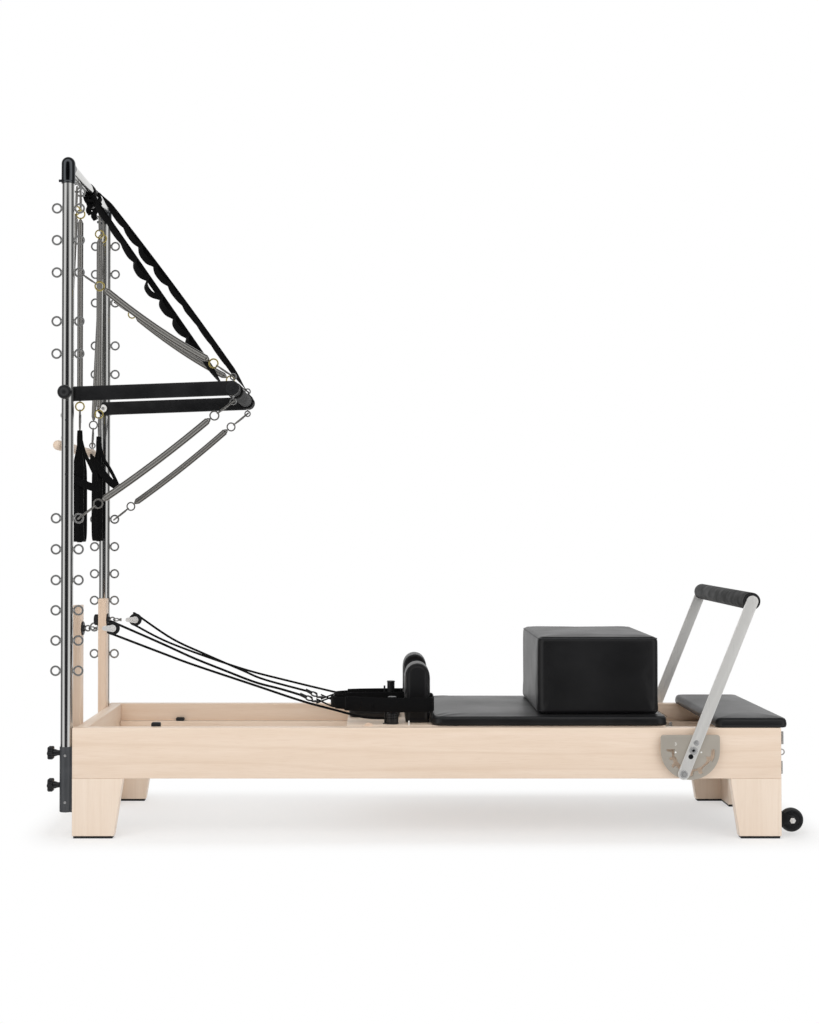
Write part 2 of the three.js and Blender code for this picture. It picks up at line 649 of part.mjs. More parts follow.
// A post that stands on the outer face of the head board, bored for the stud of its pulley
function riserPost(y) {
  const post = board(
    V(headFace - riser.x, y - riser.y / 2, riser.bottom), V(headFace, y + riser.y / 2, riser.top));
  const seat = board(
    V(headFace - frame.ease, y - riser.y / 2 + frame.ease, riser.bottom + frame.ease),
    V(headFace + frame.ease, y + riser.y / 2 - frame.ease, frame.railTop - frame.ease), frame.ease / 2);
  const bore = rod(
    V(headFace - riser.x - OVERRUN, y, pulley.height), V(headFace + OVERRUN, y, pulley.height),
    pulley.stud + FIT, RING_FACETS);
  return cut(join(post, seat), bore);
}

// The eyed stud through each riser, its pulley block and its sheave
const sheaveX = headFace + pulley.reach - FIT;
function buildRisers() {
  sides.forEach(([side, sign]) => {
    const y = sign * riserY;
    const z = pulley.height;
    const knobFace = headFace - riser.x - FIT;
    const washerFace = headFace + FIT;
    const washerEnd = washerFace + pulley.washerLength;
    const eyeCentre = washerEnd + pulley.eyeRing;
    const cheekStart = eyeCentre + pulley.eyeRing;
    const width = pulley.sheaveWidth + 2 * pulley.play;
    const cheeks = [-1, 1].map((flank) => {
      const shape = new THREE.Shape();
      const half = pulley.cheekWidth / 2;
      shape.moveTo(cheekStart + pulley.swivel, z - half / 2);
      shape.lineTo(sheaveX - half, z - half);
      shape.absarc(sheaveX, z, half, -Math.PI / 2, Math.PI / 2);
      shape.lineTo(sheaveX - half, z + half);
      shape.lineTo(cheekStart + pulley.swivel, z + half / 2);
      const inner = y + flank * width / 2;
      return plate(shape, flank > 0 ? inner : inner - pulley.cheek, pulley.cheek);
    });
    const bridgeEnd = sheaveX - pulley.sheave - pulley.play * 2;
    const pinHalf = width / 2 + pulley.cheek * 3 / 2;
    const pieces = [
      rod(V(knobFace - pulley.knobLength, y, z), V(knobFace, y, z), pulley.knob, RING_FACETS),
      rod(V(knobFace - pulley.play, y, z), V(washerFace + pulley.play, y, z), pulley.stud, RING_FACETS),
      rod(V(washerFace, y, z), V(washerEnd, y, z), pulley.washer, RING_FACETS),
      ring(V(eyeCentre, y, z), Y, pulley.eyeRing, pulley.eyeWire),
      rod(
        V(cheekStart - pulley.eyeWire, y, z), V(cheekStart + pulley.swivel + pulley.play, y, z),
        pulley.eyeWire, WIRE_FACETS),
      board(
        V(cheekStart + pulley.swivel, y - width / 2 - pulley.play, z - pulley.swivel),
        V(bridgeEnd, y + width / 2 + pulley.play, z + pulley.swivel), pulley.play),
      ...cheeks,
      rod(V(sheaveX, y - pinHalf, z), V(sheaveX, y + pinHalf, z), pulley.pin, RING_FACETS),
    ];
    add(`${side}_pulley_block`, join(...pieces), darkSteel);
    const half = pulley.sheaveWidth / 2;
    const floor = pulley.rootWidth / 2;
    const profile = [
      [pulley.pin + FIT, -half], [pulley.sheave, -half], [pulley.root, -floor], [pulley.root, floor],
      [pulley.sheave, half], [pulley.pin + FIT, half], [pulley.pin + FIT, -half],
    ].map(([r, h]) => new THREE.Vector2(r, h));
    add(`${side}_sheave`, new THREE.LatheGeometry(profile, FACETS).translate(sheaveX, y, z), black);
  });
}

// The push-through bar, built level about its pivot and then turned up by its rise
const pushAngle = Math.asin(push.rise / push.reach);
const pushEnd = V(uprightX + push.reach * Math.cos(pushAngle), 0, push.pivotZ + push.rise);
const armInner = uprightY - tower.tube - push.armGap;

function buildPushBar() {
  const inner = armInner - push.armThickness;
  sides.forEach(([side, sign]) => {
    const shape = new THREE.Shape();
    const half = push.armHeight / 2;
    const up = pushAngle + Math.PI / 2;
    shape.absarc(uprightX, push.pivotZ, half, up, up + Math.PI);
    shape.absarc(pushEnd.x, pushEnd.z, half, up + Math.PI, up + 2 * Math.PI);
    const flat = plate(shape, sign > 0 ? inner : -armInner, push.armThickness);
    const pivot = rod(
      V(uprightX, sign * (inner + FIT), push.pivotZ),
      V(uprightX, sign * (inner - push.stemLength), push.pivotZ), push.stem * 3 / 2, RING_FACETS);
    add(`${side}_push_arm`, join(flat, pivot), black);

    const seat = uprightY + tower.tube + FIT;
    const middle = seat + push.stemLength + push.ball;
    add(`${side}_pivot_knob`, join(
      rod(
        V(uprightX, sign * seat, push.pivotZ), V(uprightX, sign * middle, push.pivotZ),
        push.stem, RING_FACETS),
      ball(V(uprightX, sign * middle, push.pivotZ), push.ball)), black);
  });
  const end = inner - FIT;
  const pieces = [rod(V(pushEnd.x, -end, pushEnd.z), V(pushEnd.x, end, pushEnd.z), push.bar)];
  [-1, 1].forEach((sign) => {
    [-1, 1].forEach((face) => {
      const out = V(0, 0, face);
      const base = V(pushEnd.x, sign * pushEyeY, pushEnd.z).addScaledVector(out, push.bar - eye.wire);
      pieces.push(...eyebolt(base, out, Y, smallEye, push.eyeOffset - push.bar + eye.wire));
    });
  });
  add('push_crossbar', join(...pieces), black);
}

const pushEye = { ring: push.eyeRing, wire: push.eyeWire };
const smallEye = { ...pushEye, shank: push.eyeWire * 2 };

function buildPushSprings() {
  sides.forEach(([side, sign]) => {
    const eyeX = uprightX + eye.offset;
    [['upper', 1], ['lower', -1]].forEach(([place, face]) => {
      const height = eyeHeights[springEyes[place]];
      const from = V(eyeX, sign * uprightY, height);
      const to = V(pushEnd.x, sign * pushEyeY, pushEnd.z + face * push.eyeOffset);
      const sag = springSag[place];
      add(`${side}_${place}_spring`, clippedSpring(from, to, eye, pushEye, pushSpring, sag), steel);
    });
  });
}

// A flat band of webbing from the tower crossbar to the push bar, with a loop round each
function buildStraps() {
  sides.forEach(([side, sign], index) => {
    const top = V(uprightX, strap.topShares[index] * uprightY, barZ);
    const low = V(pushEnd.x, sign * pushStrapY, pushEnd.z);
    const bands = [[top, tower.tube], [low, push.bar]].map(([centre, radius]) => {
      const inner = radius + strap.bandGap;
      const outer = inner + strap.thickness;
      const half = strap.width / 2;
      const profile = [[inner, -half], [outer, -half], [outer, half], [inner, half], [inner, -half]];
      const points = profile.map(([r, h]) => new THREE.Vector2(r, h));
      return [new THREE.LatheGeometry(points, FACETS).translate(centre.x, centre.y, centre.z), inner];
    });
    const along = low.clone().sub(top);
    const normal = V(-along.z, 0, along.x).normalize();
    const [start, end] = [[top, bands[0][1]], [low, bands[1][1]]].map(([centre, inner]) => (
      centre.clone().addScaledVector(normal, inner + strap.thickness / 2)));
    const ribbon = new THREE.BoxGeometry(strap.width, start.distanceTo(end), strap.thickness);
    const up = end.clone().sub(start).normalize();
    const wide = Y.clone().addScaledVector(up, -up.y).normalize();
    ribbon.applyMatrix4(new THREE.Matrix4().makeBasis(wide, up, wide.clone().cross(up)));
    const middle = start.clone().add(end).multiplyScalar(1 / 2);
    ribbon.translate(middle.x, middle.y, middle.z);
    add(`${side}_safety_strap`, join(bands[0][0], bands[1][0], ribbon), webbing);
  });
}

// An upright loop of padded webbing, drawn in Y and Z, with the tab that it hangs by
function footLoop(x, y, topZ) {
  const tabEnd = topZ - loop.tab;
  const half = loop.spread / 2;
  const outline = (inset) => {
    const shape = inset ? new THREE.Path() : new THREE.Shape();
    const radius = half - inset;
    const low = loop.bottom + half;
    shape.moveTo(y, tabEnd - inset * 3);
    shape.lineTo(y - radius, tabEnd - loop.spread * 2);
    shape.lineTo(y - radius, low);
    shape.absarc(y, low, radius, Math.PI, 2 * Math.PI);
    shape.lineTo(y + radius, tabEnd - loop.spread * 2);
    shape.closePath();
    return shape;
  };
  const shape = outline(0);
  shape.holes.push(outline(loop.thickness));
  const settings = { depth: loop.band, bevelEnabled: false, curveSegments: PLATE_FACETS };
  const band = new THREE.ExtrudeGeometry(shape, settings);
  band.applyMatrix4(new THREE.Matrix4().makeBasis(Y, Z, X)).translate(x - loop.band / 2, 0, 0);
  const tab = board(
    V(x - loop.tabWidth / 2, y - loop.tabThickness / 2, tabEnd - loop.thickness),
    V(x + loop.tabWidth / 2, y + loop.tabThickness / 2, topZ), loop.tabThickness / 6);
  return join(band, tab);
}

// Two springs with foot loops, and two more that carry the roll-down bar
const eyeZ = barZ - eye.offset;
const rollX = uprightX - rollBar.behind;
function buildHanging() {
  [['near', barEyes[1]], ['far', barEyes[3]]].forEach(([side, y]) => {
    const from = V(uprightX, y, eyeZ);
    const to = V(uprightX, y, loop.top + hangSpring.clipWire + FIT - seatOf(hangSpring, eye, Z));
    add(`${side}_loop_spring`, clippedSpring(from, to, eye, eye, hangSpring), steel);
    add(`${side}_foot_loop`, footLoop(uprightX, y, loop.top), webbing);
  });
  const rollEnd = uprightY - rollBar.short - rollBar.radius;
  const bar = [rod(V(rollX, -rollEnd, rollBar.z), V(rollX, rollEnd, rollBar.z), rollBar.radius)];
  [-1, 1].forEach((sign) => bar.push(ball(V(rollX, sign * rollEnd, rollBar.z), rollBar.radius)));
  [['near', barEyes[0]], ['far', barEyes[4]]].forEach(([side, y]) => {
    const offset = rollBar.radius + rollBar.eyelet;
    const base = V(rollX, y, rollBar.z + rollBar.radius - eye.wire);
    bar.push(...eyebolt(base, Z, Y, smallEye, offset - rollBar.radius + eye.wire));
    const from = V(uprightX, y, eyeZ);
    const to = V(rollX, y, rollBar.z + offset);
    add(`${side}_bar_spring`, clippedSpring(from, to, eye, pushEye, hangSpring), steel);
  });
  add('roll_down_bar', join(...bar), maple);
}

// A rope through each pulley, from the post on the carriage to the padded loop round the shoulder rest
const ropeRoute = {
  near: [[760, -196, 476], [500, -206, 566], [260, -217, 655]],
  low: [[300, -228, 604], [620, -236, 492], [860, -243, 412], [960, -246, 389]],
};
const ropeSteps = 2;
const ropeSides = 4;
function buildRopes() {
  const wrap = pulley.root + rope.radius + FIT;
  const postX = carriageStart + cleat.fromStart;
  sides.forEach(([side, sign]) => {
    const y = sign * riserY;
    const turn = [];
    const turns = 5;
    for (let i = 0; i <= turns; i += 1) {
      const angle = Math.PI / 2 + i / turns * Math.PI - pulley.lean;
      turn.push(V(sheaveX + wrap * Math.cos(angle), y, pulley.height + wrap * Math.sin(angle)));
    }
    const mirrored = (points) => points.map(([x, py, z]) => V(x, -sign * py, z));
    const route = [
      V(ringX - rope.ringRadius, sign * rope.ringY, rope.ringZ),
      ...mirrored(ropeRoute.near), ...turn, ...mirrored(ropeRoute.low),
      V(postX - cleat.radius - FIT, sign * cleatY, rope.postZ),
    ];
    const curve = new THREE.CatmullRomCurve3(route, false, 'centripetal');
    const cord = wireThrough(curve.getPoints((route.length - 1) * ropeSteps), rope.radius, ropeSides);
    const band = loopBand(sign);
    const link = ring(V(ringX, sign * rope.ringY, rope.ringZ), Y, rope.ringRadius, rope.ringWire);
    add(`${side}_rope`, join(cord, link, band), webbing);
  });
}

// The padded loop lies on edge round the shoulder rest and the rope post
function loopBand(sign) {
  const start = ringX + rope.ringRadius;
  const path = (target, inset) => {
    const left = start + inset * 2;
    const right = restStart + rest.length + restLoop.gap + restLoop.thickness - inset;
    const outer = (cleatY + restLoop.outside) - inset;
    const inner = restLoop.inner + inset;
    const corner = restLoop.corner - inset;
    target.moveTo(left, restLoop.ringHalf - rope.ringY);
    target.lineTo(left, -restLoop.ringHalf - rope.ringY);
    target.lineTo((carriageStart + restLoop.shoulder), -outer);
    target.lineTo(right - corner, -outer);
    target.absarc(right - corner, -outer + corner, corner, -Math.PI / 2, 0);
    target.absarc(right - corner, -inner - corner, corner, 0, Math.PI / 2);
    target.lineTo((carriageStart + restLoop.shoulder), -inner);
    target.closePath();
    return target;
  };
  const shape = path(new THREE.Shape(), 0);
  shape.holes.push(path(new THREE.Path(), restLoop.thickness));
  const settings = { depth: restLoop.height, bevelEnabled: false, curveSegments: 4 };
  const band = new THREE.ExtrudeGeometry(shape, settings);
  band.translate(0, 0, -restLoop.height / 2);
  if (sign > 0) band.rotateX(Math.PI);
  return band.translate(0, 0, restLoop.bottom + restLoop.height / 2);
}

// A cushion: round corners in plan, a crowned top and sides that draw in between the corners
const rimShare = -0.9;
const insetShares = [0.015, 0.06];
const topShares = [0.75, 0.4];
function cushion(low, high, corner, crown, draw) {
  const size = high.clone().sub(low);
  const middle = low.clone().add(high).multiplyScalar(1 / 2);
  const heightShares = [-1, rimShare, 0, -rimShare, 1];
  const around = [];
  const perCorner = 3;
  const perSide = 2;
  const half = V(size.x / 2, size.y / 2, size.z / 2);
  const corners = [[1, 1], [-1, 1], [-1, -1], [1, -1]];
  corners.forEach(([sx, sy], index) => {
    for (let k = 0; k <= perCorner; k += 1) {
      const angle = (index + k / perCorner) * Math.PI / 2;
      around.push([
        sx * (half.x - corner) + corner * Math.cos(angle),
        sy * (half.y - corner) + corner * Math.sin(angle)]);
    }
    const [nx, ny] = corners[(index + 1) % 4];
    const end = (index + 1) * Math.PI / 2;
    const [from, to] = [[sx, sy], [nx, ny]].map(([cx, cy]) => [
      cx * (half.x - corner) + corner * Math.cos(end), cy * (half.y - corner) + corner * Math.sin(end)]);
    for (let k = 1; k < perSide; k += 1) {
      const t = k / perSide;
      const dip = draw * 4 * t * (1 - t);
      around.push([
        from[0] + (to[0] - from[0]) * t - dip * Math.cos(end),
        from[1] + (to[1] - from[1]) * t - dip * Math.sin(end)]);
    }
  });
  const count = around.length;
  const vertices = [];
  const surface = (x, y) => crown * (1 - (x / half.x) ** 2) * (1 - (y / half.y) ** 2);
  heightShares.forEach((height) => {
    const insetShare = height === 0 ? 0 : insetShares[Math.abs(height) < 1 ? 0 : 1];
    around.forEach(([x, y]) => {
      const inset = insetShare * size.z;
      const length = Math.hypot(x, y);
      const pull = 1 - inset / length;
      const z = middle.z + height * (half.z - crown / 2) - crown / 2;
      vertices.push(V(middle.x + x * pull, middle.y + y * pull, z));
    });
  });
  topShares.forEach((share) => around.forEach(([x, y]) => {
    const z = high.z - crown + surface(x * share, y * share);
    vertices.push(V(middle.x + x * share, middle.y + y * share, z));
  }));
  vertices.push(V(middle.x, middle.y, high.z));
  vertices.push(V(middle.x, middle.y, low.z));
  const faces = [];
  const levels = heightShares.length + topShares.length;
  for (let level = 0; level + 1 < levels; level += 1) {
    for (let k = 0; k < count; k += 1) {
      const a = level * count + k;
      const b = level * count + (k + 1) % count;
      faces.push(a, b, a + count, b, b + count, a + count);
    }
  }
  const top = levels * count;
  for (let k = 0; k < count; k += 1) {
    const next = (k + 1) % count;
    faces.push((levels - 1) * count + k, (levels - 1) * count + next, top, next, k, top + 1);
  }
  const geometry = new THREE.BufferGeometry().setFromPoints(vertices);
  geometry.setIndex(faces);
  geometry.computeVertexNormals();
  return geometry;
}

function buildCarriage() {
  const top = deckTop;
  const under = top - carriage.deckThickness;
  const half = railInner - carriage.sideGap;
  const wheelTop = frame.railTop - ledge.below;
  const axleZ = wheelTop + FIT + carriage.wheel;
  const wheelY = railInner - ledge.width / 2;
  const deck = board(V(carriageStart, -half, under), V(carriageEnd, half, top), frame.ease);
  const pieces = [];
  const axles = [carriageStart + carriage.firstAxle, carriageEnd - carriage.lastAxle];
  axles.forEach((x) => sides.forEach(([, sign]) => {
    const y = sign * (wheelY - carriage.wheelWidth / 2 - FIT * 2 - carriage.hanger / 2);
    pieces.push(board(
      V(x - carriage.block / 2, y - carriage.hanger / 2, axleZ - carriage.axle * 2),
      V(x + carriage.block / 2, y + carriage.hanger / 2, under + frame.ease), frame.ease / 2));
  }));
  pieces.push(board(
    V(anchorX - carriage.anchorLength, -carriage.anchorWidth / 2, carriage.anchorBottom),
    V(anchorX, carriage.anchorWidth / 2, under + frame.ease), frame.ease));
  const axleHoles = axles.map((x) => rod(
    V(x, -half, axleZ), V(x, half, axleZ), (carriage.axle + FIT) / roundShare, RING_FACETS));
  const posts = sides.flatMap(([, sign]) => {
    const at = V(carriageStart + cleat.fromStart, sign * cleatY, top);
    return [
      rod(at.clone().setZ(top - FIT), at.clone().setZ(top + cleat.baseHeight), cleat.base, RING_FACETS),
      rod(at.clone().setZ(top), at.clone().setZ(top + cleat.height), cleat.radius, RING_FACETS),
    ];
  });
  add('carriage_deck', cut(join(deck, ...pieces, ...posts), ...axleHoles), maple);
  [['head', axles[0]], ['foot', axles[1]]].forEach(([end, x]) => {
    const wheels = sides.map(([, sign]) => rod(
      V(x, sign * (wheelY - carriage.wheelWidth / 2), axleZ),
      V(x, sign * (wheelY + carriage.wheelWidth / 2), axleZ), carriage.wheel, FACETS));
    const axle = rod(V(x, -wheelY, axleZ), V(x, wheelY, axleZ), carriage.axle, RING_FACETS);
    add(`${end}_wheelset`, join(axle, ...wheels), black);
  });
  const padBottom = top + FIT;
  const padHalf = railInner + carriage.padOver;
  const boxStart = padStart + box.fromPad;
  add('carriage_pad', cushion(
    V(padStart, -padHalf, padBottom),
    V(padStart + carriage.padLength, padHalf, padBottom + carriage.padThickness),
    carriage.padCorner, carriage.crown, carriage.crown / 2), greyVinyl);
  buildShoulderRests(padBottom);
  buildHeadrest(padBottom);
  const boxBottom = padBottom + carriage.padThickness + FIT;
  add('sitting_box', cushion(
    V(boxStart, box.y - box.width / 2, boxBottom),
    V(boxStart + box.length, box.y + box.width / 2, boxBottom + box.height),
    box.corner, box.crown, box.crown / 2), vinyl);
}

// Upright blocks with a round top that stand on the deck at the head end of the pad
function buildShoulderRests(bottom) {
  sides.forEach(([side, sign]) => {
    const y = sign * rest.spacing / 2;
    const shape = new THREE.Shape();
    const radius = rest.length / 2;
    const centreX = restStart + radius;
    shape.moveTo(restStart, bottom);
    shape.lineTo(restStart + rest.length, bottom);
    shape.absarc(centreX, bottom + rest.height - radius, radius, 0, Math.PI);
    shape.closePath();
    const geometry = new THREE.ExtrudeGeometry(shape, {
      depth: rest.width - 2 * rest.lip,
      bevelSize: rest.lip,
      bevelThickness: rest.lip,
      bevelOffset: -rest.lip,
      bevelSegments: 2,
      curveSegments: 8,
    });
    geometry.rotateX(Math.PI / 2).translate(0, y + rest.width / 2 - rest.lip, 0);
    add(`${side}_shoulder_rest`, geometry, vinyl);
  });
}

function buildHeadrest(bottom) {
  const half = headrest.width / 2;
  const start = carriageStart + headrest.setBack;
  add('headrest', cushion(
    V(start, -half, bottom), V(start + headrest.length, half, bottom + headrest.thickness),
    headrest.corner, headrest.crown, headrest.crown / 2), vinyl);
}

// One of the springs that pull the carriage to the spring bar, hidden under the pad
function buildCarriageSpring() {
  const z = frame.railTop - springBar.below + springBar.hookLength / 2;
  const start = V(anchorX + FIT, carriageSpring.y, z);
  const end = V(frame.length - springBar.fromFoot - springBar.hookRadius - FIT, carriageSpring.y, z);
  add('carriage_spring', coil(start, end, carriageSpring), steel);
}

buildFrame();
buildTracks();
buildPlatform();
buildTransportWheels();
buildFootbar();
buildTower();
buildRisers();
buildPushBar();
buildPushSprings();
buildStraps();
buildHanging();
buildRopes();
buildCarriage();
buildCarriageSpring();

// The origin lies under the middle of the whole unit, between the sleeve knobs and the wheel rims
const headReach = uprightX - sleeve.radius - sleeveKnob.reach - sleeveKnob.thickness;
const footReach = footFace + wheel.reach + FIT + wheel.radius;
assembly.position.x = -(headReach + footReach) / 2;
console.log(`least gap of a spring to itself ${leastGap.toFixed(2)} mm`);

export default part;
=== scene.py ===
"""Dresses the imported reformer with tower: the camera and studio first, then materials, then each piece."""
import math

import bmesh
import bpy
import numpy as np
from mathutils import Matrix, Vector


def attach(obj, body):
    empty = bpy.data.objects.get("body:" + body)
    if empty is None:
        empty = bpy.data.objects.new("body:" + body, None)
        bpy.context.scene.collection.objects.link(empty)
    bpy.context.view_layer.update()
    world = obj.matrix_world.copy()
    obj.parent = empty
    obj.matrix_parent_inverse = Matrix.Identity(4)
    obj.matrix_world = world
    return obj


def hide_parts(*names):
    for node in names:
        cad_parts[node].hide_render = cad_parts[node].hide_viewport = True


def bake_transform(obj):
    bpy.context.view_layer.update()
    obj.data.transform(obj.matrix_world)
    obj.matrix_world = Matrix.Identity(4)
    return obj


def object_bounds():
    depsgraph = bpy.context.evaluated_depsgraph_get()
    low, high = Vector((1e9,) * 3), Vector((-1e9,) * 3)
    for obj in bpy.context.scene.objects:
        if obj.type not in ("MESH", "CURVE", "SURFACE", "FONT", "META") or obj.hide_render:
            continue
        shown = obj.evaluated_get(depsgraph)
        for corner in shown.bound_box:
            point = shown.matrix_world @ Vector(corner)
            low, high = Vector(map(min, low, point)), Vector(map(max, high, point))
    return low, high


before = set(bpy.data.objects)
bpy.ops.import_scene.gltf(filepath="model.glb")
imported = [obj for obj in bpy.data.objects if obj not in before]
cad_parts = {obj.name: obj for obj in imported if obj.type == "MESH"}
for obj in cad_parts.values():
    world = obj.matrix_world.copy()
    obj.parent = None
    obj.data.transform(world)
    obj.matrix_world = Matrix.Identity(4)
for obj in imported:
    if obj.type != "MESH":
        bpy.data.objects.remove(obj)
cad_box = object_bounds()
MM = 0.001
HEAD_END = -1.182  # row X of the rails' head end, in metres
SIDES = (("near", -1), ("far", 1))
X, Y, Z = Vector((1, 0, 0)), Vector((0, 1, 0)), Vector((0, 0, 1))


def at(x, y, z):
    """A place given as the CAD gives it: millimetres from the rails' head end, the middle and the floor."""
    return Vector((HEAD_END + x * MM, y * MM, z * MM))


def mm(x, y, z):
    """A step in millimetres."""
    return Vector((x, y, z)) * MM


# Camera: the photograph's own place, across the near rail, tipped up a little as its uprights show
CAMERA_PLACE = at(1020.3, -5096.9, 1034.96)
FOCAL_PIXELS = 1425
PITCH = math.radians(0.9)
IMAGE = (819, 1024)
CENTRE_PIXEL = (378.7, 527.2)
SENSOR = 36


def build_camera():
    data = bpy.data.cameras.new("photo_camera")
    data.sensor_width = SENSOR
    data.lens = FOCAL_PIXELS / IMAGE[1] * SENSOR
    data.shift_x = (IMAGE[0] / 2 - CENTRE_PIXEL[0]) / IMAGE[1]
    data.shift_y = (CENTRE_PIXEL[1] - IMAGE[1] / 2 - FOCAL_PIXELS * math.tan(PITCH)) / IMAGE[1]
    data.clip_end = 60  # metres, past the floor's far edge
    camera = bpy.data.objects.new("photo_camera", data)
    camera.location = CAMERA_PLACE
    camera.rotation_euler = (math.pi / 2 + PITCH, 0, 0)
    bpy.context.scene.collection.objects.link(camera)
    bpy.context.scene.camera = camera


def linear(r, g, b):
    """A colour read from the photograph, 0 to 255, as Blender wants it."""
    def one(v):
        v = v / 255
        return v / 12.92 if v <= 0.04045 else ((v + 0.055) / 1.055) ** 2.4
    return (one(r), one(g), one(b), 1)


class Nodes:
    """A short way to write a node tree."""

    def __init__(self, tree):
        self.tree = tree
        tree.nodes.clear()

    def add(self, kind, inputs=None, **settings):
        node = self.tree.nodes.new("ShaderNode" + kind)
        for key, value in settings.items():
            setattr(node, key, value)
        for key, value in (inputs or {}).items():
            self.put(node.inputs[key], value)
        return node

    def put(self, socket, value):
        """Links a socket to another, or gives it a plain value."""
        if isinstance(value, bpy.types.NodeSocket):
            self.tree.links.new(value, socket)
        else:
            socket.default_value = value

    def ramp(self, factor, *stops):
        node = self.add("ValToRGB", {"Fac": factor})
        elements = node.color_ramp.elements
        while len(elements) < len(stops):
            elements.new(0.5)
        for element, (place, colour) in zip(elements, stops):
            element.position = place
            element.color = colour if len(colour) == 4 else (*colour, 1)
        return node.outputs["Color"]

    def maths(self, operation, a, b=0.0, c=0.5):
        return self.add("Math", {0: a, 1: b, 2: c}, operation=operation).outputs[0]

    def spread(self, value, low, high):
        """Carries the middle of a noise, 0.3 to 0.7, onto low to high."""
        return self.add("MapRange", {
            "Value": value, "From Min": 0.3, "From Max": 0.7, "To Min": low, "To Max": high}).outputs["Result"]

    def mix(self, factor, a, b, blend="MIX"):
        node = self.add("Mix", {"Factor": factor}, data_type="RGBA", blend_type=blend)
        self.put(node.inputs[6], a)
        self.put(node.inputs[7], b)
        return node.outputs[2]

    def coordinates(self, scale=(1, 1, 1), rotation=(0, 0, 0)):
        place = self.add("TexCoord").outputs["Object"]
        return self.add("Mapping", {"Vector": place, "Scale": scale, "Rotation": rotation}).outputs["Vector"]

    def noise(self, vector, scale, detail=4, roughness=0.5, distortion=0):
        return self.add("TexNoise", {
            "Vector": vector, "Scale": scale, "Detail": detail, "Roughness": roughness, "Distortion": distortion,
        }).outputs["Fac"]

    def bump(self, height, strength, distance, normal=None):
        inputs = {"Height": height, "Strength": strength, "Distance": distance}
        if normal is not None:
            inputs["Normal"] = normal
        return self.add("Bump", inputs).outputs["Normal"]

    def surface(self, **inputs):
        words = {key.replace("_", " "): value for key, value in inputs.items()}
        shader = self.add("BsdfPrincipled", words)
        self.tree.links.new(shader.outputs[0], self.add("OutputMaterial").inputs["Surface"])
        return shader


def material(name):
    """A new material and its node helper."""
    made = bpy.data.materials.new(name)
    made.use_nodes = True
    return made, Nodes(made.node_tree)


# The studio: white all round, darker behind the camera as a studio is, which polished metal and vinyl show
KEY_POWER = 60
FILL_POWER = 22
AMBIENT = 0.74
FLOOR_HALF = 9
FLOOR_WHITE = 0.94
FLOOR_GLOW = 0.5  # the share of the shaded floor that is plain white to the camera
FLOOR_SHADED = (1.16, 0.2, 1)  # half sizes of the shaded part, and how far it takes to fade
FLOOR_FADE = (0.24, 0.38, 1)


def build_world():
    world = bpy.data.worlds.new("studio")
    bpy.context.scene.world = world
    world.use_nodes = True
    n = Nodes(world.node_tree)
    direction = n.add("TexCoord").outputs["Generated"]
    parts = n.add("SeparateXYZ", {0: direction})
    # A glossy ray sees, turning away from straight behind the camera: dark, a ring of soft boxes, dark flags,
    # the white backdrop. That gives a round tube the photograph's two bright stripes between three dark ones
    turned = n.maths("ARCCOSINE", n.maths("MULTIPLY", parts.outputs["Y"], -1.0))
    room = n.ramp(
        n.maths("DIVIDE", turned, math.pi), (0.0, (0.02, 0.02, 0.022)), (0.15, (0.03, 0.03, 0.032)),
        (0.22, (0.8, 0.8, 0.8)), (0.36, (1, 1, 1)), (0.44, (0.12, 0.12, 0.124)), (0.68, (0.16, 0.16, 0.16)),
        (0.78, (1, 1, 1)))
    path = n.add("LightPath")
    shine = n.maths("MAXIMUM", path.outputs["Is Glossy Ray"], path.outputs["Is Transmission Ray"])
    soft = n.mix(shine, (AMBIENT, AMBIENT, AMBIENT * 0.995, 1), room)
    seen = n.mix(path.outputs["Is Camera Ray"], soft, (1, 1, 1, 1))
    background = n.add("Background", {"Color": seen, "Strength": 1.0})
    n.tree.links.new(background.outputs[0], n.add("OutputWorld").inputs["Surface"])


def area_lamp(name, place, target, size, power):
    data = bpy.data.lights.new(name, "AREA")
    data.shape = "RECTANGLE"
    data.size, data.size_y = size
    data.energy = power
    lamp = bpy.data.objects.new(name, data)
    lamp.location = place
    lamp.rotation_euler = (target - place).to_track_quat("-Z", "Y").to_euler()
    lamp.visible_glossy = False
    bpy.context.scene.collection.objects.link(lamp)


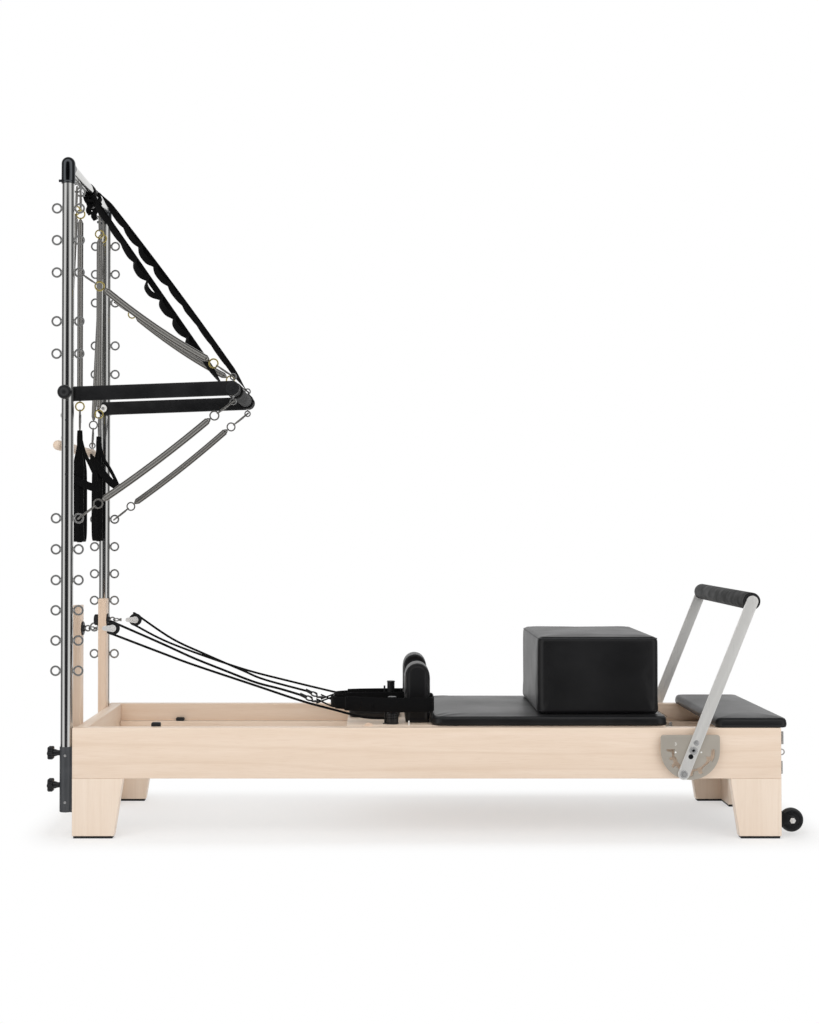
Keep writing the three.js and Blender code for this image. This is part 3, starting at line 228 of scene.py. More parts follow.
def build_studio():
    build_world()
    middle = at(RAIL_LENGTH / 2, 0, 500)
    area_lamp("key", at(-700, -3600, 3800), middle, (3.2, 3.2), KEY_POWER)
    area_lamp("fill", at(3600, -3200, 2600), middle, (2.6, 2.6), FILL_POWER)
    mesh = bpy.data.meshes.new("floor")
    half = FLOOR_HALF
    mesh.from_pydata([(-half, -half, 0), (half, -half, 0), (half, half, 0), (-half, half, 0)], [], [(0, 1, 2, 3)])
    floor = bpy.data.objects.new("floor", mesh)
    floor.location.z = cad_box[0][2] - 0.0005
    bpy.context.scene.collection.objects.link(floor)
    made, n = material("floor_white")
    # Below the unit the floor is lit and takes its shadow, and round that it fades to plain white for the camera
    off = n.add("TexCoord").outputs["Object"]
    for operation, other in (
            ("ABSOLUTE", (0, 0, 0)), ("SUBTRACT", FLOOR_SHADED), ("MAXIMUM", (0, 0, 0)), ("DIVIDE", FLOOR_FADE)):
        off = n.add("VectorMath", {0: off, 1: other}, operation=operation).outputs[0]
    far = n.add("VectorMath", {0: off}, operation="LENGTH").outputs["Value"]
    edge = n.add("MapRange", {"Value": far, "From Min": 0.0, "From Max": 1.0}, interpolation_type="SMOOTHSTEP")
    path = n.add("LightPath")
    white_share = n.maths("MAXIMUM", edge.outputs["Result"], FLOOR_GLOW)
    seen = n.maths("MULTIPLY", white_share, path.outputs["Is Camera Ray"])
    lit = n.add("BsdfDiffuse", {"Color": (FLOOR_WHITE, FLOOR_WHITE, FLOOR_WHITE, 1)})
    white = n.add("Emission", {"Color": (1, 1, 1, 1), "Strength": 1.0})
    both = n.add("MixShader", {0: seen, 1: lit.outputs[0], 2: white.outputs[0]})
    n.tree.links.new(both.outputs[0], n.add("OutputMaterial").inputs["Surface"])
    mesh.materials.append(made)
    floor.visible_glossy = False  # so polished tubes show the room down to their feet


# Materials. Texture coordinates are the object's own, so a pattern stays with its piece in every pose
BLACK, WHITE = (0, 0, 0, 1), (1, 1, 1, 1)
WOOD_LIGHT = linear(243, 223, 204)
WOOD_MID = linear(235, 212, 190)
WOOD_LINE = linear(216, 186, 158)
# A warm darker maple, mixed in as painted shade on the far rail, the risers and the deck's end blocks
WOOD_SHADE = linear(196, 152, 112)
# A paler maple, mixed in as painted light on the legs
WOOD_LIT = linear(250, 238, 224)


def tinted(colour, factor, lift=0.0):
    """A darker or lighter neighbour of a colour."""
    return tuple(v * factor + lift for v in colour[:3]) + (1,)


def by_axis(axis, along, across):
    """Texture scales: one along an axis, another across it."""
    return tuple(along if name == axis else across for name in "xyz")


def wood(name, along, depth=0.0, painted_light=0.0):
    """Pale maple with fine straight grain along one axis, a few wider figures, and a satin lacquer. The two last
    arguments mix in painted shade, a warm darker maple, and painted light, a paler one.
    """
    made, n = material(name)
    place = n.coordinates(by_axis(along, 1.1, 16))
    broad = n.noise(place, 1.3, 5, 0.55, 1.4)
    figure = n.add("TexWave", {
        "Vector": place, "Scale": 0.42, "Distortion": 9.0, "Detail": 3.0, "Detail Scale": 0.8,
        "Detail Roughness": 0.55,
    }, wave_type="RINGS", rings_direction=along.upper()).outputs["Fac"]
    pores = n.noise(n.coordinates(by_axis(along, 14, 420)), 1.0, 3, 0.6)
    base = n.ramp(broad, (0.3, WOOD_MID), (0.7, WOOD_LIGHT))
    lines = n.ramp(figure, (0.0, WHITE), (0.06, (0.35, 0.35, 0.35, 1)), (0.14, BLACK))
    figured = n.mix(n.maths("MULTIPLY", lines, 0.2), base, WOOD_LINE)
    speck = n.ramp(pores, (0.36, WHITE), (0.46, BLACK))
    colour = n.mix(n.maths("MULTIPLY", speck, 0.2), figured, WOOD_LINE)
    # Painted shade: the third argument pulls the colour towards the warm darker maple; painted light: the last lifts
    # it towards the paler one
    colour = n.mix(painted_light, n.mix(depth, colour, WOOD_SHADE), WOOD_LIT)
    n.surface(Base_Color=colour, Roughness=n.maths("MULTIPLY_ADD", broad, 0.12, 0.38),
              Normal=n.bump(pores, 0.12, 0.0004), Coat_Weight=0.12, Coat_Roughness=0.3)
    return made


def metal(name, colour, roughness, brushed=None, streak=0.35, bump=0.1, metallic=1.0):
    """Polished or brushed metal: fine lines along one axis that vary its roughness and colour a little."""
    made, n = material(name)
    lines = n.noise(n.coordinates(by_axis(brushed, 4, 900) if brushed else (160, 160, 160)), 1.0, 3, 0.6)
    smears = n.noise(n.coordinates((9, 9, 9)), 1.0, 4, 0.6)
    n.surface(Base_Color=n.mix(n.maths("MULTIPLY", smears, 0.5), colour, tinted(colour, 0.86)), Metallic=metallic,
              Roughness=n.spread(lines, roughness * (1 - streak), roughness * (1 + streak)),
              Normal=n.bump(lines, bump, 0.0003))
    return made


def paint(name, colour, roughness, grain=2600, strength=0.14):
    """Powder coat: a fine pebbled skin, rubbed a little brighter where it is exposed."""
    made, n = material(name)
    pebble = n.noise(n.coordinates(), grain, 2, 0.5)
    wear = n.noise(n.coordinates(), 14, 5, 0.6)
    tone = n.mix(n.ramp(wear, (0.45, BLACK), (0.8, (0.6, 0.6, 0.6, 1))), colour, tinted(colour, 1.5, 0.004))
    n.surface(Base_Color=tone, Roughness=n.spread(wear, roughness * 0.85, roughness * 1.15),
              Normal=n.bump(pebble, strength, 0.0003), Specular_IOR_Level=0.5)
    return made


def vinyl(name, colour, roughness):
    """Upholstery vinyl: small leather cells in the bump, soft unevenness, and a quiet sheen at its edges."""
    made, n = material(name)
    cells = n.add("TexVoronoi", {"Vector": n.coordinates(), "Scale": 900}, feature="DISTANCE_TO_EDGE")
    crease = n.ramp(cells.outputs["Distance"], (0.0, BLACK), (0.18, WHITE))
    soft = n.noise(n.coordinates(), 6.5, 3, 0.5)
    tone = n.mix(n.ramp(soft, (0.35, BLACK), (0.75, WHITE)), colour, tinted(colour, 1.35, 0.002))
    n.surface(Base_Color=tone, Roughness=n.spread(soft, roughness * 0.9, roughness * 1.12),
              Normal=n.bump(crease, 0.12, 0.0004, n.bump(soft, 0.1, 0.004)), Specular_IOR_Level=0.5,
              Sheen_Weight=0.04, Sheen_Roughness=0.4)
    return made


def weave(name, colour, pitch=0.0016):
    """Woven webbing: ribs across two directions, with a little fibre fuzz in its sheen."""
    made, n = material(name)
    place = n.coordinates()
    ribs = [n.add("TexWave", {
        "Vector": place, "Scale": 1 / pitch / 6.2832 * 3.14, "Distortion": 0.6, "Detail": 1.0,
    }, wave_type="BANDS", bands_direction=axis).outputs["Fac"] for axis in ("DIAGONAL", "Z")]
    height = n.maths("MULTIPLY", ribs[0], ribs[1])
    # Painted light and shade: the raised ribs are drawn up to twice as light as the grooves between them
    tone = n.mix(n.maths("MULTIPLY", height, 0.7), colour, tinted(colour, 2, 0.002))
    n.surface(Base_Color=tone, Roughness=0.8, Normal=n.bump(height, 0.45, 0.0006), Specular_IOR_Level=0.18,
              Sheen_Weight=0.03, Sheen_Roughness=0.5)
    return made


def plastic(name, colour, roughness, grain=1400):
    """Moulded plastic or rubber: a faint texture from the mould and softer, duller patches."""
    made, n = material(name)
    mould = n.noise(n.coordinates(), grain, 2, 0.5)
    patch = n.noise(n.coordinates(), 30, 4, 0.6)
    n.surface(Base_Color=n.mix(n.maths("MULTIPLY", patch, 0.8), colour, tinted(colour, 1.2, 0.001)),
              Roughness=n.spread(patch, roughness * 0.85, roughness * 1.2), Normal=n.bump(mould, 0.1, 0.0002))
    return made


# Mesh pieces. Each maker returns (points, faces) in metres, and piece() joins several into one object
def merged(*parts):
    """Several pieces' points and faces as one."""
    points, faces = [], []
    for part_points, part_faces in parts:
        start = len(points)
        points.extend(part_points)
        faces.extend([tuple(start + i for i in face) for face in part_faces])
    return points, faces


def skin(rows, closed=False):
    """The faces between neighbouring rows of point numbers, each row a closed loop, capped unless the rows close."""
    faces = []
    for low, high in zip(rows, rows[1:] + (rows[:1] if closed else [])):
        for k in range(len(low)):
            nxt = (k + 1) % len(low)
            faces.append((low[k], low[nxt], high[nxt], high[k]))
    if not closed:
        faces += [tuple(reversed(rows[0])), tuple(rows[-1])]
    return faces


def frame_of(axis):
    """Two directions square to an axis."""
    axis = axis.normalized()
    side = (Y if abs(axis.y) < 0.9 else X).copy()
    across = (side - axis * side.dot(axis)).normalized()
    return across, axis.cross(across)


def around(u, v, angle, radius):
    """A step of radius millimetres at an angle between two directions."""
    return (u * math.cos(angle) + v * math.sin(angle)) * radius * MM


def angles(count):
    """Even turns round a circle, in radians."""
    return [2 * math.pi * k / count for k in range(count)]


def lathe(profile, origin, axis, steps, closed=False):
    """Turns (radius, height) pairs in millimetres about an axis through origin."""
    across, up = frame_of(axis)
    axis = axis.normalized()
    points, rows = [], []
    for radius, height in profile:
        base = origin + axis * height * MM
        row = [base] if radius < 1e-6 else [base + around(across, up, angle, radius) for angle in angles(steps)]
        rows.append(range(len(points), len(points) + len(row)))
        points += row
    faces = []
    for low, high in zip(rows, rows[1:] + (rows[:1] if closed else [])):
        for k in range(steps):
            nxt = (k + 1) % steps
            if len(low) == 1:
                faces.append((low[0], high[nxt], high[k]))
            elif len(high) == 1:
                faces.append((low[k], low[nxt], high[0]))
            else:
                faces.append((low[k], low[nxt], high[nxt], high[k]))
    return points, faces


def mirrored(*profile):
    """A lathe profile and the same the other way up after it."""
    return [*profile, *[(r, -h) for r, h in reversed(profile)]]


def eased(half, core, edge, inner=()):
    """The profile of a bar that reaches half to both sides, its rims rounded by edge outside its core."""
    low = [(r, -half) for r in inner]
    low += [(core + edge * math.sin(math.radians(a)), -half + edge - edge * math.cos(math.radians(a)))
            for a in range(15, 91, 15)]
    return low + [(r, -h) for r, h in reversed(low)]


def rod(a, b, radius, edge, steps):
    """A round bar between two places, its rims eased by edge millimetres."""
    length = (b - a).length / MM
    edge = min(edge, radius * 0.6, length * 0.45)
    rim = [(radius - edge + edge * math.sin(turn), edge - edge * math.cos(turn))
           for turn in (0, math.pi / 6, math.pi / 3, math.pi / 2)]
    return lathe([(0, 0), *rim, *[(r, length - h) for r, h in reversed(rim)], (0, length)], a, b - a, steps)


def ring(centre, axis, radius, wire, steps=32, sides=12):
    return lathe(circle(wire, sides, radius), centre, axis, steps, closed=True)


def ball(centre, radius, steps=36):
    rows = steps // 2
    turns = [math.pi * k / rows for k in range(1, rows)]
    profile = [(radius * math.sin(a), -radius * math.cos(a)) for a in turns]
    return lathe([(0, -radius), *profile, (0, radius)], centre, Z, steps)


def sweep(points, section, across=None, closed=False):
    """Carries a section, or one for each place, a list of (sideways, upwards) in millimetres, along a path.
    Sideways lies along a given direction, or a list of them, and otherwise it doesn't twist."""
    points = [Vector(p) for p in points]
    count = len(points)
    sections = section if isinstance(section[0], list) else [section] * count
    flanks = across if isinstance(across, list) else [across] * count
    side = None
    rows, made = [], []
    for i, (point, outline, flank) in enumerate(zip(points, sections, flanks)):
        after = points[(i + 1) % count] if closed else points[min(i + 1, count - 1)]
        before = points[i - 1] if closed or i else points[0]
        tangent = (after - before).normalized()
        if flank is None:
            flank = frame_of(tangent)[0] if side is None else side
        side = (flank - tangent * flank.dot(tangent)).normalized()
        up = tangent.cross(side)
        rows.append(range(len(made), len(made) + len(outline)))
        made.extend(point + (side * u + up * v) * MM for u, v in outline)
    return made, skin(rows, closed)


def circle(radius, sides=12, centre=0):
    """Points of a circle, in millimetres."""
    return [(centre + radius * math.cos(angle), radius * math.sin(angle)) for angle in angles(sides)]


def strip(width, thickness, edge=0.5):
    """The section of a flat band with rounded edges."""
    w, t = width / 2, thickness / 2
    e = min(edge, t)
    return [(-w, -t + e), (-w + e, -t), (0, -t * 1.02), (w - e, -t), (w, -t + e),
            (w, t - e), (w - e, t), (0, t * 1.02), (-w + e, t), (-w, t - e)]


def smooth_path(points, per=8, closed=False):
    """A smooth curve through given places."""
    points = [Vector(p) for p in points]
    count = len(points)
    path = []
    spans = count if closed else count - 1
    for i in range(spans):
        p0 = points[(i - 1) % count] if closed or i else points[0] * 2 - points[1]
        p1, p2 = points[i], points[(i + 1) % count]
        p3 = points[(i + 2) % count] if closed or i + 2 < count else points[-1] * 2 - points[-2]
        for k in range(per):
            t = k / per
            path.append(0.5 * (2 * p1 + (p2 - p0) * t + (2 * p0 - 5 * p1 + 4 * p2 - p3) * t * t
                               + (3 * p1 - p0 - 3 * p2 + p3) * t ** 3))
    if not closed:
        path.append(points[-1])
    return path


def helix(a, b, radius, wire, pitch, steps=14):
    """A spring of open turns between two places, drawn to its axis at each end."""
    along = b - a
    length = along.length / MM
    along.normalize()
    across, up = frame_of(along)
    count = int(length / pitch * steps)
    points = []
    for i in range(count + 1):
        taper = min(1, (i + 4) / (steps * 1.2), (count - i + 4) / (steps * 1.2))
        turned = around(across, up, 2 * math.pi * i / steps, radius * taper)
        points.append(a + along * length * (i / count) * MM + turned)
    return sweep(points, circle(wire, 8))


def close_wound(a, b, radius, wire, sag=0, steps=26, per_turn=7):
    """The body of a spring whose turns touch: a tube with one shallow round thread, hanging a little."""
    along = b - a
    length = along.length / MM
    along.normalize()
    across, up = frame_of(along)
    pitch = 2 * wire
    count = int(length / pitch * per_turn)
    depth = wire * 0.42
    arc_radius = (wire * wire + depth * depth) / (2 * depth)
    points = []
    for i in range(count + 1):
        share = i / count
        ends = min(1, (i + 2) / (per_turn * 1.5), (count - i + 2) / (per_turn * 1.5))
        centre = a + along * length * share * MM - Z * 4 * sag * share * (1 - share) * MM
        for k in range(steps):
            turn = (i / per_turn - k / steps) % 1 - 0.5
            low = arc_radius - math.sqrt(arc_radius ** 2 - (turn * pitch) ** 2)
            reach = (radius - low) * (0.72 + 0.28 * math.sin(ends * math.pi / 2))
            points.append(centre + around(across, up, 2 * math.pi * k / steps, reach))
    return points, skin([range(i * steps, (i + 1) * steps) for i in range(count + 1)])


def ribbon(centres, flanks, width, thickness):
    """A flat band through its centres, its width, or widths, along the matching flanks."""
    widths = width if isinstance(width, list) else [width] * len(centres)
    return sweep(centres, [strip(one, thickness) for one in widths], flanks)


def box(one, other, edge=2.0, segments=3):
    """A block with rounded edges between two corners, given as the CAD gives places."""
    low, high = at(*map(min, one, other)), at(*map(max, one, other))
    bm = bmesh.new()
    bmesh.ops.create_cube(bm, size=1)
    size = high - low
    middle = (low + high) / 2
    for v in bm.verts:
        v.co = Vector((v.co.x * size.x, v.co.y * size.y, v.co.z * size.z)) + middle
    limit = min(size) / MM * 0.49
    bmesh.ops.bevel(bm, geom=bm.edges[:], offset=min(edge, limit) * MM, segments=segments, profile=0.5,
                    affect="EDGES", clamp_overlap=True)
    bmesh.ops.recalc_face_normals(bm, faces=bm.faces[:])
    bm.verts.index_update()
    points = [v.co.copy() for v in bm.verts]
    faces = [tuple(v.index for v in f.verts) for f in bm.faces]
    bm.free()
    return points, faces


def mesh_of(curve, place, u, v):
    """Turns a flat curve into points and faces that lie along u and v from a place, and clears it away."""
    holder = bpy.data.objects.new(curve.name, curve)
    mesh = bpy.data.meshes.new_from_object(holder)
    turn = Matrix((u, v, u.cross(v))).transposed()
    made = ([place + turn @ vertex.co for vertex in mesh.vertices], [tuple(p.vertices) for p in mesh.polygons])
    bpy.data.objects.remove(holder)
    bpy.data.curves.remove(curve)
    bpy.data.meshes.remove(mesh)
    return made


def sheet_metal(outlines, origin, u, v, thickness, edge=0.8):
    """A plate: closed outlines in millimetres along u and v, holes inside the first, thickened both ways."""
    curve = bpy.data.curves.new("outline", "CURVE")
    curve.dimensions = "2D"
    curve.fill_mode = "BOTH"
    edge = min(edge, thickness / 2 * 0.9)
    curve.extrude = (thickness / 2 - edge) * MM
    curve.bevel_depth = edge * MM
    curve.bevel_resolution = 2
    curve.offset = -edge * MM
    for outline in outlines:
        spline = curve.splines.new("POLY")
        spline.points.add(len(outline) - 1)
        for point, (a, b) in zip(spline.points, outline):
            point.co = (a * MM, b * MM, 0, 1)
        spline.use_cyclic_u = True
    return mesh_of(curve, origin, u, v)


def arc(cx, cy, radius, start, end, steps=12):
    """Points of an arc, with its angles in degrees."""
    return [(cx + radius * math.cos(math.radians(start + (end - start) * k / steps)),
             cy + radius * math.sin(math.radians(start + (end - start) * k / steps))) for k in range(steps + 1)]


def piece(name, body, look, parts, stands_for=(), sharp=32):
    """Makes one object of joined parts. It rides on a body, or, given two bodies and two places, it stays where it is
    made.
    """
    mesh = bpy.data.meshes.new(name)
    points, faces = merged(*parts)
    mesh.from_pydata(points, [], faces)
    bm = bmesh.new()
    bm.from_mesh(mesh)
    bmesh.ops.remove_doubles(bm, verts=bm.verts[:], dist=1e-6)
    bmesh.ops.recalc_face_normals(bm, faces=bm.faces[:])
    bm.to_mesh(mesh)
    bm.free()
    mesh.polygons.foreach_set("use_smooth", [True] * len(mesh.polygons))
    if sharp:
        mesh.set_sharp_from_angle(angle=math.radians(sharp))
    mesh.materials.append(LOOKS[look])
    made = bpy.data.objects.new(name, mesh)
    bpy.context.scene.collection.objects.link(made)
    if isinstance(body, tuple):
        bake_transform(made)
    else:
        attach(made, body)
    if stands_for:
        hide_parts(*stands_for)
    return made


# Sizes that the CAD gives, in millimetres, and places read from its solids
HALF_WIDTH = 345
RAIL_THICK = 40
RAIL_TOP = 367
RAIL_BOTTOM = 199
RAIL_LENGTH = 2360
STOP_TOP = {"near": 379, "far": 318}
BOARD_FACE, BOARD_THICK = 8, 38
LEG_TOP, LEG_FOOT, LEG_THICK, LEG_WING = 169, 139, 40, 110
PAD_HEIGHT = 8
POST_X, POST_Y, TUBE = -22.3, 325, 20.6
CAP_TOP, CAP_BOTTOM, CAP = 2279, 2189, 23.2
BAR_Z = 2245
EYE_HEIGHTS = (555, 656, 757, 858, 961, 1065, 1617, 1726, 1890, 1999, 2106)
PLUG_HEIGHTS = (1212, 1303, 1393)
EYE_SEAT = TUBE - 0.6
EYE = {"ring": 14.7, "wire": 3.3, "offset": 38, "shank": 4.4}
SMALL_EYE = {"ring": 10, "wire": 2.5, "shank": 4}
ROLL_BAR, ROLL_BAR_HALF, ROLL_BAR_RADIUS = (POST_X - 40, 0, 1312), 306, 17
BAR_EYES = (-190.1, -130, 53.6, 206.4, 286)


def build_looks():
    """Every material, by the name that the pieces use."""
    steel = linear(214, 214, 212)
    return {
        "wood_x": wood("maple_along_x", "x"),
        "wood_y": wood("maple_along_y", "y"),
        # Painted light: the legs' maple is lifted towards a paler colour
        "wood_z_lit": wood("maple_along_z_lit", "z", 0.0, 0.3),
        # Painted shade: the far rail, the risers and the deck's end blocks get warmer, darker copies of the maple
        "far_wood_shaded": wood("maple_far_rail_shaded", "x", 0.14),
        "riser": wood("maple_risers_shaded", "z", 0.22),
        "tube": metal("polished_tube", steel, 0.13, "z", 0.3, 0.05),
        "tube_y": metal("polished_crossbar", steel, 0.16, "y", 0.3, 0.05),
        "eye": metal("eyebolt_steel", linear(176, 176, 175), 0.16, None, 0.3, 0.04),
        "arm": metal("footbar_steel", linear(238, 237, 234), 0.3, "z", 0.1, 0.015, 0.4),
        "plate": metal("gear_plate_steel", linear(190, 183, 172), 0.42, "x", 0.25, 0.1, 0.35),
        "spring": metal("spring_wire", linear(158, 156, 152), 0.17, None, 0.2, 0.02),
        "brass": metal("brass_ring", linear(224, 204, 120), 0.22, None, 0.3, 0.06),
        "dark_chrome": metal("dark_chrome", linear(92, 95, 98), 0.1, "z", 0.3, 0.04),
        "bolt": metal("bolt_steel", linear(188, 188, 188), 0.3, None, 0.4, 0.1, 0.5),
        "grey": paint("grey_powder_coat", linear(64, 66, 69), 0.42),
        "cheek": metal("pulley_cheek_steel", linear(236, 235, 233), 0.34, "x", 0.3, 0.06, 0.3),
        "washer": plastic("white_nylon", linear(232, 231, 228), 0.4),
        "black_bar": paint("black_rubber_coat", linear(16, 16, 18), 0.7, 1200, 0.1),
        "black_coat": paint("black_powder_coat", linear(20, 20, 22), 0.38),
        "vinyl": vinyl("black_vinyl", linear(13, 13, 15), 0.42),
        "top_vinyl": vinyl("pad_vinyl", linear(18, 18, 20), 0.4),
        "foam": plastic("foam_grip", linear(8, 8, 9), 0.62, 700),
        "plastic": plastic("black_plastic", linear(28, 29, 31), 0.34),
        "rubber": plastic("black_rubber", linear(26, 26, 28), 0.55),
        "web": weave("webbing", linear(5, 5, 6)),
        "cord": weave("braided_cord", linear(7, 7, 8), 0.0012),
        "seam": plastic("seam_thread", linear(58, 59, 61), 0.6),
        "print": plastic("white_numbers", linear(244, 244, 242), 0.6),
    }


def leg_outline(x, inward):
    """A leg seen from the side: upright outside, and tapering down inside."""
    return [(x, RAIL_BOTTOM), (x, PAD_HEIGHT), (x + inward * LEG_FOOT, PAD_HEIGHT),
            (x + inward * LEG_TOP, RAIL_BOTTOM)]


def build_frame():
    """The rails, their stops, the four legs with their feet, the boards across both ends, and the latches."""
    for side, sign in SIDES:
        outer, inner = sign * HALF_WIDTH, sign * (HALF_WIDTH - RAIL_THICK)
        # The far rail takes the copy of the maple darkened with painted shade
        piece(f"{side}_rail_wood", "base", "wood_x" if side == "near" else "far_wood_shaded", [
            box((0, outer, RAIL_BOTTOM), (RAIL_LENGTH, inner, RAIL_TOP), 2.5)], [f"{side}_rail"])
        piece(f"{side}_rubber_stop", "base", "rubber", [
            box((256, inner - sign * 0.3, 305.3), (287, inner - sign * 25.7, STOP_TOP[side]), 5, 4)],
            [f"{side}_rail_stop"])
        middle = sign * (HALF_WIDTH - LEG_THICK / 2)
        reach = outer - sign * (LEG_THICK + LEG_WING)
        for end, x, inward in (("head", 0, 1), ("foot", RAIL_LENGTH, -1)):
            start = x + inward * BOARD_FACE
            stop = start + inward * BOARD_THICK
            # The legs take the copy of the maple lifted with painted light
            piece(f"{side}_{end}_leg_wood", "base", "wood_z_lit", [
                sheet_metal([leg_outline(x, inward)], at(0, middle, 0), X, Z, LEG_THICK, 2.2),
                box((start, reach, PAD_HEIGHT), (stop, inner, RAIL_BOTTOM - 0.3), 2.2)], [f"{side}_{end}_leg"])
            pad_top = PAD_HEIGHT + 0.5
            piece(f"{side}_{end}_foot_pad", "base", "rubber", [
                box((x + inward * 4, middle - LEG_THICK / 2 + 3, 0),
                    (x + inward * (LEG_FOOT - 4), middle + LEG_THICK / 2 - 3, pad_top), 1.5),
                box((start + inward * 3, reach + sign * 3, 0), (stop - inward * 3, inner - sign * 3, pad_top), 1.5)])
    for end, x in (("head", BOARD_FACE), ("foot", RAIL_LENGTH - BOARD_FACE - BOARD_THICK)):
        piece(f"{end}_board_wood", "base", "wood_y", [
            box((x, -304.7, 217), (x + BOARD_THICK, 304.7, RAIL_TOP), 2.5)], [f"{end}_board"])
    for side, sign in SIDES:
        piece(f"latch_{side}", "base", "bolt", latch(sign))


def latch(sign):
    """A small spring latch on the foot board: its plates, the lever that stands out, and the keeper below."""
    x, y = RAIL_LENGTH - 8, sign * 296
    parts = [box((x, y - 13, 300), (x + 3, y + 13, 350), 1), box((x, y - 11, 205), (x + 3, y + 11, 252), 1)]
    for z in (342, 312, 244, 214):
        parts.append(rod(at(x, y, z), at(x + 24, y, z), 4.2, 1, 16))
    parts.append(rod(at(x + 24, y, 306), at(x + 24, y, 349), 4.6, 1.4, 16))
    parts.append(rod(at(x + 22, y, 207), at(x + 22, y, 250), 3.6, 1.2, 16))
    parts.append(ring(at(x + 22, y, 280), Y, 9, 2.2, 24, 8))
    return parts


def eyebolt(base, out, axis, sizes, offset):
    """A forged eye on a turned collar, its shank run into the tube."""
    centre = base + out * offset * MM
    neck = centre - out * (sizes["ring"] - sizes["wire"] * 0.4) * MM
    collar = base + out * 1.5 * MM
    return [
        ring(centre, axis, sizes["ring"], sizes["wire"]),
        rod(base - out * 2 * MM, neck, sizes["shank"] * 0.72, 0.4, 16),
        rod(base - out * 1 * MM, collar, sizes["shank"] * 1.35, 0.5, 20),
        rod(collar, collar + out * 3.2 * MM, sizes["shank"] * 1.25, 0.4, 6),
    ]


def build_tower():
    """Two uprights with eyebolts, caps and sleeves, and the crossbar between them."""
    for side, sign in SIDES:
        y = sign * POST_Y
        piece(f"{side}_upright_tube", "base", "tube", [
            rod(at(POST_X, y, 92), at(POST_X, y, CAP_BOTTOM + 29), TUBE, 1.5, 64)], [f"{side}_upright"])
        eyes = []
        for z in EYE_HEIGHTS:
            for face in (-1, 1):
                eyes += eyebolt(at(POST_X + face * EYE_SEAT, y, z), X * face, Y, EYE, EYE["offset"] - EYE_SEAT)
        piece(f"{side}_eyebolts", "base", "eye", eyes)
        plugs = [rod(at(POST_X, y + sign * (TUBE - 2), z), at(POST_X, y + sign * (TUBE + 1.6), z), 4.6, 1, 24)
                 for z in PLUG_HEIGHTS]
        piece(f"{side}_hole_plugs", "base", "plastic", plugs)
        build_corner_cap(side, sign)
        build_sleeve(side, sign)
    bar_end = POST_Y - CAP - 3.7
    bar = [rod(at(POST_X, -bar_end, BAR_Z), at(POST_X, bar_end, BAR_Z), TUBE, 1.2, 64)]
    piece("crossbar_tube", "base", "tube_y", bar, ["tower_crossbar"])
    eyes = []
    for y in BAR_EYES:
        eyes += eyebolt(at(POST_X, y, BAR_Z - EYE_SEAT), -Z, Y, EYE, EYE["offset"] - EYE_SEAT)
    piece("crossbar_eyebolts", "base", "eye", eyes)


def build_corner_cap(side, sign):
    """A polished corner with a domed top, a collar line and the socket that holds the crossbar."""
    y, dome = sign * POST_Y, CAP
    profile = [(21, CAP_BOTTOM), (22.5, CAP_BOTTOM), (dome, CAP_BOTTOM + 1), (dome, CAP_BOTTOM + 6),
               (dome - 0.6, CAP_BOTTOM + 7), (dome, CAP_BOTTOM + 8)]
    profile += [(dome * math.cos(math.radians(a)), CAP_TOP - dome + dome * math.sin(math.radians(a)))
                for a in range(0, 90, 9)] + [(0, CAP_TOP)]
    cap = lathe(profile, at(POST_X, y, 0), Z, 56)
    inner = sign * (POST_Y - dome - 3.4)
    socket = rod(at(POST_X, y - sign * 10, BAR_Z), at(POST_X, inner, BAR_Z), 21.8, 1.4, 56)
    lip = ring(at(POST_X, sign * (POST_Y - dome - 1.2), BAR_Z), Y, 21.2, 1.1, 56, 8)
    screw = rod(at(POST_X - dome + 1, y, CAP_BOTTOM + 10), at(POST_X - dome - 9, y, CAP_BOTTOM + 10), 4.6, 1.2, 24)
    piece(f"{side}_cap_chrome", "base", "dark_chrome", [cap, socket, lip, screw],
          [f"{side}_corner_cap"])


SLEEVE, SLEEVE_LOW, SLEEVE_HIGH, FLANGE_HALF = 22.6, 87, 303, 19
KNOB_HEIGHTS = (175, 282)
SCREW_HEIGHTS = (120, 275)


def build_sleeve(side, sign):
    """The painted socket that an upright stands in, with its screws and hand knobs."""
    y = sign * POST_Y
    r, low, high = SLEEVE, SLEEVE_LOW, SLEEVE_HIGH
    shell = lathe([(20.9, low + 4), (21.4, low), (r - 0.6, low), (r, low + 1), (r, high - 1), (r - 0.6, high),
                   (20.9, high), (20.9, high - 6)], at(POST_X, y, 0), Z, 56)
    foot = lathe([(0, low + 5), (20.9, low + 5)], at(POST_X, y, 0), Z, 56)
    flange = box((-5.3, y - FLANGE_HALF, low), (-0.3, y + FLANGE_HALF, high), 1.2)
    piece(f"{side}_sleeve_shell", "base", "grey", [shell, foot, flange], [f"{side}_sleeve"])
    heads = []
    for z in SCREW_HEIGHTS:
        for face in (-1, 1):
            heads.append(rod(at(POST_X, y + face * (r - 1), z), at(POST_X, y + face * (r + 1.4), z), 4.2, 1, 24))
    piece(f"{side}_sleeve_screws", "base", "bolt", heads)
    knobs = []
    for z in KNOB_HEIGHTS:
        knobs += hand_knob(at(POST_X - r, y, z))
    piece(f"{side}_sleeve_knobs", "base", "plastic", knobs)


def hand_knob(seat):
    """A six-lobed hand knob on a short neck, facing -X."""
    outline = []
    for angle in angles(96):
        r = 23.7 - 5.6 * (0.5 - 0.5 * math.cos(6 * angle)) ** 1.2
        outline.append((r * math.cos(angle), r * math.sin(angle)))
    return [sheet_metal([outline], seat - mm(29.5, 0, 0), Y, Z, 19, 4.5),
            lathe([(9, -0.5), (9, 6), (12, 14), (12, 21)], seat, -X, 32),
            lathe([(9, 39), (8, 39.6), (0, 40)], seat, -X, 32)]


SHEAVE_X, PULLEY_Z, RISER_Y = 112.7, 690, 225


